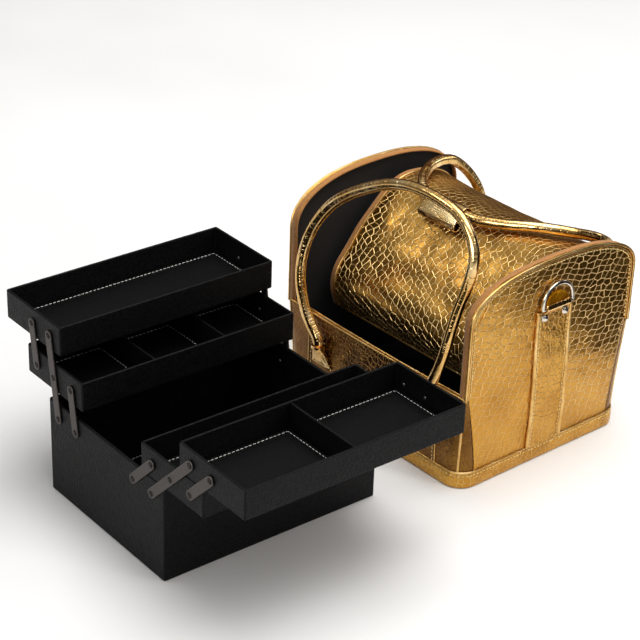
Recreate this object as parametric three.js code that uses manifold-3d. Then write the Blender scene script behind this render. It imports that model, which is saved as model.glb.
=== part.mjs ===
// Makeup train case: a soft gold carry bag standing open, and the black cantilever tray insert that lifts
// out of it, standing in front. Millimetres, +Z up. The origin is the centre of the bag's underside, the
// bag's front faces -Y, and the insert's long side runs along Y.
import * as THREE from 'three';
import { mergeVertices } from 'three/addons/utils/BufferGeometryUtils.js';
import Module from 'manifold-3d';

const wasm = await Module();
wasm.setup();

// Shared clearances
const seam = 0.3;              // between pieces that touch
const pivotClearance = 0.35;   // round a rivet in its hole

// Insert
const insertLength = 280;
const insertWidth = 220;
const boxHeight = 115;
const boxBoard = 4;            // board with its leatherette
const matThickness = 1.6;
const matMargin = 1.2;         // between a mat and the walls round it
const trayHeight = 34;
const trayWall = 3;
const trayFloor = 3;
const stackGap = 0.5;          // under each tray when the trays are stacked
const centreGap = 0.6;         // between the two lids of trays when both are closed
const dividerThickness = 3;
const upperDividerPlace = -4;  // divider of the right upper tray, from its middle
const lowerDividerPitch = 92;  // between the two dividers of the left lower tray
const lidOverhang = 0.8;       // divider top below the rim

// Cantilever arms
const pivotSpacing = 34.1;     // between neighbouring rivets on a tray
const armWidth = 11.5;
const armThickness = 2;
const rivetRadius = 1.8;
const rivetHeadRadius = 3.4;
const rivetHeadHeight = 1.3;
const leftArmAngle = 81;       // degrees above level, from the outside; the right arms lie fully open

// Bag
const standGap = 76;           // from the insert's end to the bag's front
const bagShift = 4;            // sideways, of the bag from the insert's middle
const bagYaw = 2;              // degrees
const bagLength = 302;
const bagDepth = 258;
const cornerRadius = 22;
const bagWall = 3;
const frontHeight = 118;
const backHeight = 140;
const shoulderHeight = 205;    // where the straight ends turn into the arch
const archHeight = 256;
const archRoundness = 2.4;     // exponent of the arch
const floorBoard = 4;
const bandThickness = 1.5;
const bandHeight = 19;

// Zips
const tapeWidth = 8;
const tapeThickness = 1.4;
const sliderWidth = 7;
const sliderDepth = 5;
const sliderHeight = 12;
const sliderPlace = 172;       // height of the slider's lower end
const pullWidth = 6;
const pullLength = 22;
const pullThickness = 1.2;

// Cover
const coverThickness = 2.5;
const coverSideGap = 3.5;      // to the zip tape at each end

// Handles
const tubeDiameter = 13;
const tubeSides = 10;
const handleSpread = 172;      // between the two feet of one handle
const handleFoot = 84;         // height of a handle's lower end
const tubeStandoff = 2;        // from the wall to the tube
const tabTopGap = 3.6;         // lets the tube lean without touching its tab
const tabHeight = 24;
const tabTopWidth = 14;
const tabBaseWidth = 32;
const tabThickness = 4;
const wrapLength = 48;
const wrapSheet = 1.4;
const wrapLooseness = 1;       // between the wrap and the tube
const flapSlope = 0.75;        // radians, down the front of the cover
const flapReach = 14;
const curlRadius = 5.5;

// D-rings on the ends
const strapWidth = 56;
const strapThickness = 2;
const strapTop = 192;
const ringWire = 4;
const ringInnerWidth = 42;
const ringRise = 27;           // from the bar's middle to the bow's middle
const loopWidth = 38;
const loopSheet = 1.8;
const loopClearance = 0.6;
const strapRivetRadius = 4.5;
const strapRivetHeight = 3;
const strapRivetPitch = 32;
const strapRivetDrop = 7;      // below the strap's top

// Worked out from the sizes above
const trayWidth = (insertWidth - centreGap) / 2;
const armRise = trayHeight + stackGap;
const armPitch = Math.hypot(pivotSpacing, armRise);
const openArmAngle = Math.atan2(armRise, pivotSpacing);
const trayPivotHeight = trayHeight / 2;
const boxPivotX = insertWidth / 4 + pivotSpacing;
const boxPivotZ = boxHeight + stackGap + trayPivotHeight - armRise;
const insertCentreY = -(bagDepth / 2 + standGap + insertLength / 2);
const halfLength = bagLength / 2;
const halfDepth = bagDepth / 2;
const tubeRadius = tubeDiameter / 2;
const ringBarZ = strapTop + loopSheet + ringWire;
const ringBarX = halfLength + seam + loopSheet + loopClearance + ringWire / 2;

const finish = (color, roughness, metalness) => () =>
  new THREE.MeshStandardMaterial({ color, roughness, metalness });
const leatherette = finish('#18181b', 0.6, 0);
const matCloth = finish('#1d1d20', 0.75, 0);
const gunmetal = finish('#5f6166', 0.45, 0.8);
const goldLeather = finish('#c8963c', 0.3, 0.7);
const tanTape = finish('#b5783f', 0.7, 0);
const lining = finish('#151517', 0.8, 0);
const nickel = finish('#cfcac0', 0.25, 1);

// Solid helpers
const toSolid = (geometry) => {
  const bare = geometry.clone();
  bare.deleteAttribute('normal');
  bare.deleteAttribute('uv');
  const merged = mergeVertices(bare.index ? bare.toNonIndexed() : bare, 1e-4);
  const vertProperties = new Float32Array(merged.attributes.position.array);
  const triVerts = new Uint32Array(merged.index.array);
  return new wasm.Manifold(new wasm.Mesh({ numProp: 3, vertProperties, triVerts }));
};

const toGeometry = (solid) => {
  const { vertProperties, triVerts } = solid.getMesh();
  const geometry = new THREE.BufferGeometry();
  geometry.setAttribute('position', new THREE.BufferAttribute(vertProperties, 3));
  geometry.setIndex(new THREE.BufferAttribute(triVerts, 1));
  return geometry;
};

const combine = (base, joined = [], cut = []) => {
  let solid = toSolid(base);
  for (const geometry of joined) solid = solid.add(toSolid(geometry));
  for (const geometry of cut) solid = solid.subtract(toSolid(geometry));
  return toGeometry(solid);
};

// A block from its low corner to its high corner.
const block = (low, high) => {
  const size = high.map((value, axis) => value - low[axis]);
  const middle = high.map((value, axis) => (value + low[axis]) / 2);
  return new THREE.BoxGeometry(...size).translate(...middle);
};

const prism = (points, height) => {
  const shape = new THREE.Shape(points.map(([x, y]) => new THREE.Vector2(x, y)));
  return new THREE.ExtrudeGeometry(shape, { depth: height, bevelEnabled: false });
};

// A plan drawn in Y and Z, standing up along X from x.
const prismAlongX = (points, x, length) =>
  prism(points, length).applyMatrix4(new THREE.Matrix4().set(0, 0, 1, x, 1, 0, 0, 0, 0, 1, 0, 0, 0, 0, 0, 1));

// A plan drawn in X and Z, standing up along Y from y.
const prismAlongY = (points, y, length) =>
  prism(points.map(([x, z]) => [z, x]), length)
    .applyMatrix4(new THREE.Matrix4().set(0, 1, 0, 0, 0, 0, 1, y, 1, 0, 0, 0, 0, 0, 0, 1));

const rodAlongY = (radius, y, length, sides = 10) =>
  new THREE.CylinderGeometry(radius, radius, length, sides).translate(0, y + length / 2, 0);

const arcPoints = (x, y, radius, from, to, steps) =>
  Array.from({ length: steps + 1 }, (_, i) => {
    const angle = from + ((to - from) * i) / steps;
    return [x + radius * Math.cos(angle), y + radius * Math.sin(angle)];
  });

// A strip of even thickness round an open run of points.
const strip = (points, thickness) => {
  const side = (sign) => points.map(([x, y], i) => {
    const [ax, ay] = points[Math.max(i - 1, 0)];
    const [bx, by] = points[Math.min(i + 1, points.length - 1)];
    const length = Math.hypot(bx - ax, by - ay);
    const offset = (sign * thickness) / 2 / length;
    return [x - (by - ay) * offset, y + (bx - ax) * offset];
  });
  return [...side(-1), ...side(1).reverse()];
};

const tube = (path, steps) => {
  const section = new THREE.Shape(arcPoints(0, 0, tubeRadius, 0, 2 * Math.PI, tubeSides).slice(0, -1)
    .map(([x, y]) => new THREE.Vector2(x, y)));
  return new THREE.ExtrudeGeometry(section, { steps, extrudePath: path, bevelEnabled: false });
};

// A domed rivet head standing up along Z.
const dome = (radius, height, sides = 10) => {
  const profile = [[0, 0], [radius, 0], [radius * 0.85, height * 0.7], [0, height]];
  const turned = new THREE.LatheGeometry(profile.map(([r, z]) => new THREE.Vector2(r, z)), sides);
  return turned.rotateX(Math.PI / 2);
};

const place = (parent, name, geometry, material) => {
  const mesh = new THREE.Mesh(geometry, material());
  mesh.name = name;
  parent.add(mesh);
  return mesh;
};

const subgroup = (parent, x = 0, y = 0, z = 0) => {
  const group = new THREE.Group();
  group.position.set(x, y, z);
  parent.add(group);
  return group;
};

// The insert's box: two end boards with rivet holes, two side boards, a floor board and a stitched mat.
const pivotHole = (x, z, y, length) =>
  rodAlongY(rivetRadius + pivotClearance, y, length).translate(x, 0, z);

const buildBox = (parent) => {
  const box = subgroup(parent);
  const halfX = insertWidth / 2;
  const halfY = insertLength / 2;
  for (const [name, side] of [['insert_wall_outer_end', -1], ['insert_wall_bag_end', 1]]) {
    const low = side < 0 ? -halfY : halfY - boxBoard;
    const wall = block([-halfX, low, 0], [halfX, low + boxBoard, boxHeight]);
    const holes = [-1, 1].flatMap((hand) => [boxPivotX, boxPivotX - pivotSpacing]
      .map((x) => pivotHole(hand * x, boxPivotZ, low - 1, boxBoard + 2)));
    place(box, name, combine(wall, [], holes), leatherette);
  }
  const innerY = halfY - boxBoard - seam;
  for (const [name, side] of [['insert_wall_left', -1], ['insert_wall_right', 1]]) {
    const low = side < 0 ? -halfX : halfX - boxBoard;
    place(box, name, block([low, -innerY, 0], [low + boxBoard, innerY, boxHeight]), leatherette);
  }
  const innerX = halfX - boxBoard - seam;
  place(box, 'insert_floor', block([-innerX, -innerY, 0], [innerX, innerY, boxBoard]), leatherette);
  const matZ = boxBoard + seam;
  const [matX, matY] = [innerX - matMargin, innerY - matMargin];
  place(box, 'insert_mat', block([-matX, -matY, matZ], [matX, matY, matZ + matThickness]), matCloth);
};

// A tray: an open shell with a rivet hole for each arm, cross dividers, and a stitched mat in each bay.
const buildTray = (parent, name, pivots, dividers) => {
  const [halfX, halfY] = [trayWidth / 2, insertLength / 2];
  const [innerX, innerY] = [halfX - trayWall, halfY - trayWall];
  const shell = block([-halfX, -halfY, 0], [halfX, halfY, trayHeight]);
  const hollow = block([-innerX, -innerY, trayFloor], [innerX, innerY, trayHeight + 1]);
  const holes = pivots.flatMap((x) => [-halfY, innerY]
    .map((y) => pivotHole(x, trayPivotHeight, y - 1, trayWall + 2)));
  place(parent, name, combine(shell, [], [hollow, ...holes]), leatherette);
  const edges = [-innerY];
  dividers.forEach((y, i) => {
    const [low, high] = [y - dividerThickness / 2, y + dividerThickness / 2];
    const reach = innerX - seam;
    const wall = block([-reach, low, trayFloor + seam], [reach, high, trayHeight - lidOverhang]);
    place(parent, `${name}_divider${dividers.length > 1 ? `_${i + 1}` : ''}`, wall, leatherette);
    edges.push(low, high);
  });
  edges.push(innerY);
  for (let bay = 0; bay < edges.length / 2; bay += 1) {
    const [low, high] = [edges[2 * bay] + matMargin, edges[2 * bay + 1] - matMargin];
    const matZ = trayFloor + seam;
    const mat = block([-innerX + matMargin, low, matZ], [innerX - matMargin, high, matZ + matThickness]);
    place(parent, `${name}_mat${dividers.length > 0 ? `_${bay + 1}` : ''}`, mat, matCloth);
  }
};

// An arm: a flat bar with round ends and a rivet at each pivot, whose shank goes through the wall to a
// flat head inside. It runs along X from its first pivot; side is -1 at the outer end, 1 at the bag end.
const buildArm = (pivots, side, wall) => {
  const reach = armPitch * (pivots - 1);
  const radius = armWidth / 2;
  const outline = [...arcPoints(0, 0, radius, Math.PI / 2, 1.5 * Math.PI, 6),
    ...arcPoints(reach, 0, radius, -Math.PI / 2, Math.PI / 2, 6)];
  const bar = prismAlongY(outline, seam, armThickness);
  const rivets = Array.from({ length: pivots }, (_, i) => i * armPitch).flatMap((x, i) => {
    const shankEnd = -(wall[i] + seam);
    const shank = rodAlongY(rivetRadius, shankEnd - 0.1, seam + 0.5 - shankEnd, 8).translate(x, 0, 0);
    const inner = rodAlongY(rivetHeadRadius, shankEnd - rivetHeadHeight, rivetHeadHeight).translate(x, 0, 0);
    const outer = dome(rivetHeadRadius, rivetHeadHeight).rotateX(-Math.PI / 2)
      .translate(x, seam + armThickness - 0.05, 0);
    return [shank, inner, outer];
  });
  const arm = combine(bar, rivets);
  return side > 0 ? arm : arm.rotateX(Math.PI);
};

// One side's trays and its three pairs of arms, at an arm angle above level.
const buildTrayGroup = (parent, side, hand, angle, lowerDividers, upperDividers) => {
  const [dx, dz] = [armPitch * Math.cos(angle), armPitch * Math.sin(angle)];
  const lower = subgroup(parent, hand * (boxPivotX + dx), 0, boxPivotZ + dz - trayPivotHeight);
  const upperX = hand * (boxPivotX + 2 * dx + pivotSpacing);
  const upper = subgroup(parent, upperX, 0, boxPivotZ + 2 * dz - trayPivotHeight);
  buildTray(lower, `${side}_lower_tray`, [-pivotSpacing, 0, pivotSpacing], lowerDividers);
  buildTray(upper, `${side}_upper_tray`, [-hand * pivotSpacing, 0], upperDividers);
  const arms = [
    ['long_arm', boxPivotX, boxPivotZ, [boxBoard, trayWall, trayWall]],
    ['inner_arm', boxPivotX - pivotSpacing, boxPivotZ, [boxBoard, trayWall]],
    ['outer_arm', boxPivotX + dx + pivotSpacing, boxPivotZ + dz, [trayWall, trayWall]],
  ];
  for (const [kind, x, z, walls] of arms) {
    for (const [end, endSide] of [['outer_end', -1], ['bag_end', 1]]) {
      const geometry = buildArm(walls.length, endSide, walls);
      const arm = place(parent, `${side}_${kind}_${end}`, geometry, gunmetal);
      arm.position.set(hand * x, (endSide * insertLength) / 2, z);
      arm.rotation.y = hand > 0 ? -angle : angle - Math.PI;
    }
  }
};

const buildInsert = (parent) => {
  const insert = subgroup(parent, -bagShift, insertCentreY, 0);
  buildBox(insert);
  const half = lowerDividerPitch / 2;
  const leftAngle = THREE.MathUtils.degToRad(leftArmAngle);
  buildTrayGroup(insert, 'left', -1, leftAngle, [-half, half], []);
  buildTrayGroup(insert, 'right', 1, openArmAngle, [], [upperDividerPlace]);
};

// The bag's shell: a floor board, a front and a back wall with rounded corners, and two end panels.
const roundedPlan = (halfX, halfY, radius) => [
  ...arcPoints(halfX - radius, halfY - radius, radius, 0, Math.PI / 2, 6),
  ...arcPoints(radius - halfX, halfY - radius, radius, Math.PI / 2, Math.PI, 6),
  ...arcPoints(radius - halfX, radius - halfY, radius, Math.PI, 1.5 * Math.PI, 6),
  ...arcPoints(halfX - radius, radius - halfY, radius, 1.5 * Math.PI, 2 * Math.PI, 6),
];

// The end's outline above the walls, from the front edge over the arch to the back edge.
const archPoints = (inset, frontZ, backZ, steps = 28) => {
  const [reach, rise] = [halfDepth - inset, archHeight - shoulderHeight - inset];
  const curve = Array.from({ length: steps + 1 }, (_, i) => {
    const angle = Math.PI * (1 - i / steps);
    const [c, s] = [Math.cos(angle), Math.sin(angle)];
    const power = 2 / archRoundness;
    return [reach * Math.sign(c) * Math.abs(c) ** power, shoulderHeight + rise * Math.abs(s) ** power];
  });
  return [[-reach, frontZ], ...curve, [reach, backZ]];
};

const wallWithCorners = (sign, height) => {
  const [x, y] = [halfLength - cornerRadius, halfDepth - cornerRadius];
  const bend = (radius) => [
    [x + radius, y + seam],
    ...arcPoints(x, y, radius, 0, Math.PI / 2, 8).slice(1),
    ...arcPoints(-x, y, radius, Math.PI / 2, Math.PI, 8).slice(0, -1),
    [-x - radius, y + seam],
  ];
  const plan = [...bend(cornerRadius), ...bend(cornerRadius - bagWall).reverse()];
  const wall = prism(plan, height);
  return sign > 0 ? wall : wall.rotateZ(Math.PI);
};

const buildEnd = (bag, side, sign) => {
  const step = halfDepth - cornerRadius;
  const [frontZ, backZ] = [frontHeight + seam, backHeight + seam];
  const outline = [[-step, 0], [-step, frontZ], ...archPoints(0, frontZ, backZ), [step, backZ], [step, 0]];
  const outerX = sign > 0 ? halfLength - bagWall : -halfLength;
  place(bag, `${side}_end_panel`, prismAlongX(outline, outerX, bagWall), goldLeather);
  const tapeLine = archPoints(tapeThickness / 2, frontZ, backZ);
  const tapeX = sign > 0 ? halfLength - bagWall - seam - tapeWidth : -halfLength + bagWall + seam;
  place(bag, `${side}_zip_tape`, prismAlongX(strip(tapeLine, tapeThickness), tapeX, tapeWidth), tanTape);
};

const buildShell = (bag) => {
  const [innerX, innerY] = [halfLength - bagWall - seam, halfDepth - bagWall - seam];
  const floorPlan = roundedPlan(innerX, innerY, cornerRadius - bagWall - seam);
  place(bag, 'bag_floor', prism(floorPlan, floorBoard), lining);
  const bandX = halfLength + seam + bandThickness;
  const bandY = halfDepth + seam + bandThickness;
  const band = prism(roundedPlan(bandX, bandY, cornerRadius + seam + bandThickness), bandHeight);
  const inside = prism(roundedPlan(halfLength + seam, halfDepth + seam, cornerRadius + seam), bandHeight + 2);
  place(bag, 'base_band', combine(band, [], [inside.translate(0, 0, -1)]), goldLeather);
  place(bag, 'front_wall', wallWithCorners(-1, frontHeight), goldLeather);
  place(bag, 'back_wall', wallWithCorners(1, backHeight), goldLeather);
  buildEnd(bag, 'left', -1);
  buildEnd(bag, 'right', 1);
};

// The cover, unzipped and tucked down between the ends: depth from the bag's middle, and height.
const coverRun = [[125, 141.5], [124, 182], [98, 226], [51, 242], [12, 235], [-31, 198], [-54, 171], [-71, 148],
  [-75, 124], [-68, 100]];

const coverLine = () => {
  const [backY, backZ] = [halfDepth - bagWall - coverThickness / 2, backHeight + seam];
  const [firstY, firstZ] = coverRun[0];
  const points = coverRun.map(([y, z]) => new THREE.Vector2(y + backY - firstY, z + backZ - firstZ));
  return new THREE.SplineCurve(points).getPoints(36).map(({ x, y }) => [x, y]);
};

const buildCover = (bag) => {
  const halfWidth = halfLength - bagWall - seam - tapeWidth - coverSideGap;
  place(bag, 'cover', prismAlongX(strip(coverLine(), coverThickness), -halfWidth, 2 * halfWidth), goldLeather);
};

// Handles: round leather tubes, each sewn to two tabs on its wall.
const footY = halfDepth + tubeStandoff + tubeRadius;
const halfSpread = handleSpread / 2;

// The front handle stands up and leans back over the open bag: across, height above the foot.
const frontRun = [[-22, 32], [-39, 70], [-43, 105], [-34, 139], [-10, 174], [30, 204], [84, 229], [140, 235],
  [189, 225], [214, 198], [216, 170], [208, 125], [201, 65], [186, 28]];
const frontLean = 0.2;         // back, for each millimetre above the wall
const leanStart = 20;          // above the front wall's top

// The rear handle rises behind the bag and lies forward on the cover: across, back from the foot, height.
const rearRun = [[-12, 1, 66], [-22, 0, 113], [-31, -14, 142], [-36, -40, 164], [-30, -80, 169],
  [-6, -116, 165.5], [20, -129, 161.5], [36, -130.5, 161], [92, -130.5, 161], [106, -128, 161.5],
  [134, -116, 164], [167, -95, 167], [196, -69, 164], [208, -39, 153], [202, -9, 128], [186, 1, 76]];
const wrapFrom = 7;            // the straight stretch that carries the wrap starts at this point

const buildHandle = (bag, name, sign, run) => {
  const at = (x, y, z) => new THREE.Vector3(x - halfSpread, y + sign * footY, z + handleFoot);
  const points = [at(0, 0, 0), at(-1, 0, 8), ...run.map((point) => at(...point)),
    at(handleSpread + 1, 0, 8), at(handleSpread, 0, 0)];
  place(bag, name, tube(new THREE.CatmullRomCurve3(points, false, 'centripetal'), 48), goldLeather);
  const wallY = halfDepth + seam;
  for (const [tabSide, x] of [['left', -halfSpread], ['right', halfSpread]]) {
    const top = handleFoot - tabTopGap;
    const outline = [[x - tabBaseWidth / 2, top - tabHeight], [x + tabBaseWidth / 2, top - tabHeight],
      [x + tabTopWidth / 2, top], [x - tabTopWidth / 2, top]];
    const low = sign > 0 ? wallY : -wallY - tabThickness;
    place(bag, `${name}_tab_${tabSide}`, prismAlongY(outline, low, tabThickness), goldLeather);
  }
};

// The handle wrap: a sheet round the rear handle whose free flap runs down the cover and curls up.
const buildWrap = (bag) => {
  const [fromX, fromY, fromZ] = rearRun[wrapFrom];
  const centre = [footY + fromY, handleFoot + fromZ];
  const sleeveRadius = tubeRadius + wrapLooseness + wrapSheet / 2;
  const along = [-Math.cos(flapSlope), -Math.sin(flapSlope)];
  const outward = [-Math.sin(flapSlope), Math.cos(flapSlope)];
  const curlCentre = centre.map((value, axis) =>
    value + flapReach * along[axis] + (sleeveRadius - curlRadius) * outward[axis]);
  const top = Math.PI / 2 + flapSlope;
  const run = [
    ...arcPoints(...centre, sleeveRadius, top - 1.2 * Math.PI, top, 14),
    ...arcPoints(...curlCentre, curlRadius, top, top + 1.6 * Math.PI, 14),
  ];
  const lowX = (fromX + rearRun[wrapFrom + 1][0] - wrapLength) / 2 - halfSpread;
  place(bag, 'handle_wrap', prismAlongX(strip(run, wrapSheet), lowX, wrapLength), goldLeather);
};

const buildHandles = (bag) => {
  const lift = frontHeight + leanStart - handleFoot;
  const front = frontRun.map(([x, z]) => [x, frontLean * Math.max(0, z - lift), z]);
  buildHandle(bag, 'front_handle', -1, front);
  buildHandle(bag, 'rear_handle', 1, rearRun);
  buildWrap(bag);
};

// A strap up each end, whose top is folded into a loop round a D-ring's bar, with two domed rivets.
const buildRingStrap = (bag, side, sign) => {
  const end = subgroup(bag);
  end.rotation.z = sign > 0 ? 0 : Math.PI;
  const faceX = halfLength + seam;
  const loopInner = ringWire / 2 + loopClearance;
  const strapLow = [faceX, -strapWidth / 2, bandHeight + seam];
  const strap = block(strapLow, [faceX + strapThickness, strapWidth / 2, strapTop]);
  const cylinder = (radius, length) =>
    rodAlongY(radius, -length / 2, length, 16).translate(ringBarX, 0, ringBarZ);
  const neck = block([faceX, -loopWidth / 2, strapTop - 1], [faceX + loopSheet, loopWidth / 2, ringBarZ]);
  const strapSolid = combine(strap, [neck, cylinder(loopInner + loopSheet, loopWidth)],
    [cylinder(loopInner, loopWidth + 2)]);
  place(end, `${side}_ring_strap`, strapSolid, goldLeather);
  const half = (ringInnerWidth + ringWire) / 2;
  const bow = Array.from({ length: 13 }, (_, i) => {
    const angle = (Math.PI * i) / 12;
    return new THREE.Vector3(0, half * Math.cos(angle), ringRise * Math.sin(angle) ** 0.8);
  });
  const wire = new THREE.Shape(arcPoints(0, 0, ringWire / 2, 0, 2 * Math.PI, 8).slice(0, -1)
    .map(([x, y]) => new THREE.Vector2(x, y)));
  const bowPath = new THREE.CatmullRomCurve3(bow);
  const bowSolid = new THREE.ExtrudeGeometry(wire, { steps: 24, extrudePath: bowPath, bevelEnabled: false });
  const bar = rodAlongY(ringWire / 2, -half - ringWire / 2, 2 * half + ringWire, 12);
  const ring = place(end, `${side}_d_ring`, combine(bar, [bowSolid]), nickel);
  ring.position.set(ringBarX, 0, ringBarZ);
  for (const [which, y] of [['front', -1], ['back', 1]]) {
    const head = dome(strapRivetRadius, strapRivetHeight).rotateY(Math.PI / 2);
    const rivet = place(end, `${side}_strap_rivet_${which}`, head, nickel);
    const rivetY = (y * sign * strapRivetPitch) / 2;
    rivet.position.set(faceX + strapThickness + seam, rivetY, strapTop - strapRivetDrop);
  }
};

// A slider on each zip's straight stretch behind the bag, with a flat pull hanging from it.
const buildZipPull = (bag, side, sign) => {
  const middleX = sign * (halfLength - bagWall - seam - tapeWidth / 2);
  const zip = subgroup(bag, middleX, halfDepth + seam, sliderPlace);
  const body = block([-sliderWidth / 2, 0, 0], [sliderWidth / 2, sliderDepth, sliderHeight]);
  place(zip, `${side}_zip_slider`, body, nickel);
  const pullY = sliderDepth + seam;
  const pull = block([-pullWidth / 2, pullY, 2 - pullLength], [pullWidth / 2, pullY + pullThickness, 2]);
  place(zip, `${side}_zip_pull`, pull, nickel);
};

const trainCase = new THREE.Group();
const bag = subgroup(trainCase);
bag.rotation.z = THREE.MathUtils.degToRad(bagYaw);
buildShell(bag);
buildCover(bag);
buildHandles(bag);
for (const [side, sign] of [['left', -1], ['right', 1]]) {
  buildRingStrap(bag, side, sign);
  buildZipPull(bag, side, sign);
}
buildInsert(trainCase);

export default trainCase;
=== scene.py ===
import math

import bpy
from mathutils import Matrix, Vector, noise


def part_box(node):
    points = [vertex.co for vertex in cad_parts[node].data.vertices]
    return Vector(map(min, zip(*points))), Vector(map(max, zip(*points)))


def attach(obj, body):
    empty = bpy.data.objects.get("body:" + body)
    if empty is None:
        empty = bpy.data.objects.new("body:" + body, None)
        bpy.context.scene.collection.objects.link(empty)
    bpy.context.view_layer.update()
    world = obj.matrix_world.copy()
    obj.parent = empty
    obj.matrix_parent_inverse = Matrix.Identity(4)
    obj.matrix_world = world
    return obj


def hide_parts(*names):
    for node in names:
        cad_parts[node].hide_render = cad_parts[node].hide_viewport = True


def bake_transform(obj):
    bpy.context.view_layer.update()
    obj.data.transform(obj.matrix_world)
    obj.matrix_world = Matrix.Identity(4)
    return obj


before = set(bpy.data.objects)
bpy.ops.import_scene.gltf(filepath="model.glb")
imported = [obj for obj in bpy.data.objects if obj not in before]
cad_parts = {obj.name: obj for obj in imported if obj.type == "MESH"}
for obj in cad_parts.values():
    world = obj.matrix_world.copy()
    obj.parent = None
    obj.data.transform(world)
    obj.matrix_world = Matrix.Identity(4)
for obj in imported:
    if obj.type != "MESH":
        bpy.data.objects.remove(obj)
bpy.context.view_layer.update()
print("frame loaded:", len(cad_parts), "nodes")

# Shapes are drawn in millimetres, in the bag's own turned frame or in the row's, and then placed.
bagTurn = math.radians(2)
bagPlace = Matrix.Rotation(bagTurn, 4, "Z") @ Matrix.Scale(0.001, 4)
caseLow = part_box("insert_wall_left")[0]
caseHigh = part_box("insert_wall_right")[1]
rowPlace = Matrix.Scale(0.001, 4)


def hexToLinear(text):
    channels = [int(text[i:i + 2], 16) / 255 for i in (1, 3, 5)]
    return [c / 12.92 if c <= 0.04045 else ((c + 0.055) / 1.055) ** 2.4 for c in channels] + [1.0]


def addNode(tree, kind, settings=None, links=None):
    node = tree.nodes.new(kind)
    for key, value in (settings or {}).items():
        if isinstance(key, int) or key[0].isupper():
            node.inputs[key].default_value = value
        else:
            setattr(node, key, value)
    for key, source in (links or {}).items():
        tree.links.new(source, node.inputs[key])
    return node


def newMaterial(name, roughness, metallic=0.0, **sockets):
    material = bpy.data.materials.new(name)
    material.use_nodes = True
    shader = material.node_tree.nodes["Principled BSDF"]
    shader.inputs["Roughness"].default_value = roughness
    shader.inputs["Metallic"].default_value = metallic
    for key, value in sockets.items():
        shader.inputs[key.replace("_", " ")].default_value = value
    return material, material.node_tree, shader


def rampColours(ramp, stops):
    elements = ramp.color_ramp.elements
    while len(elements) < len(stops):
        elements.new(0.5)
    for element, (position, colour) in zip(elements, stops):
        element.position = position
        element.color = hexToLinear(colour)


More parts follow.
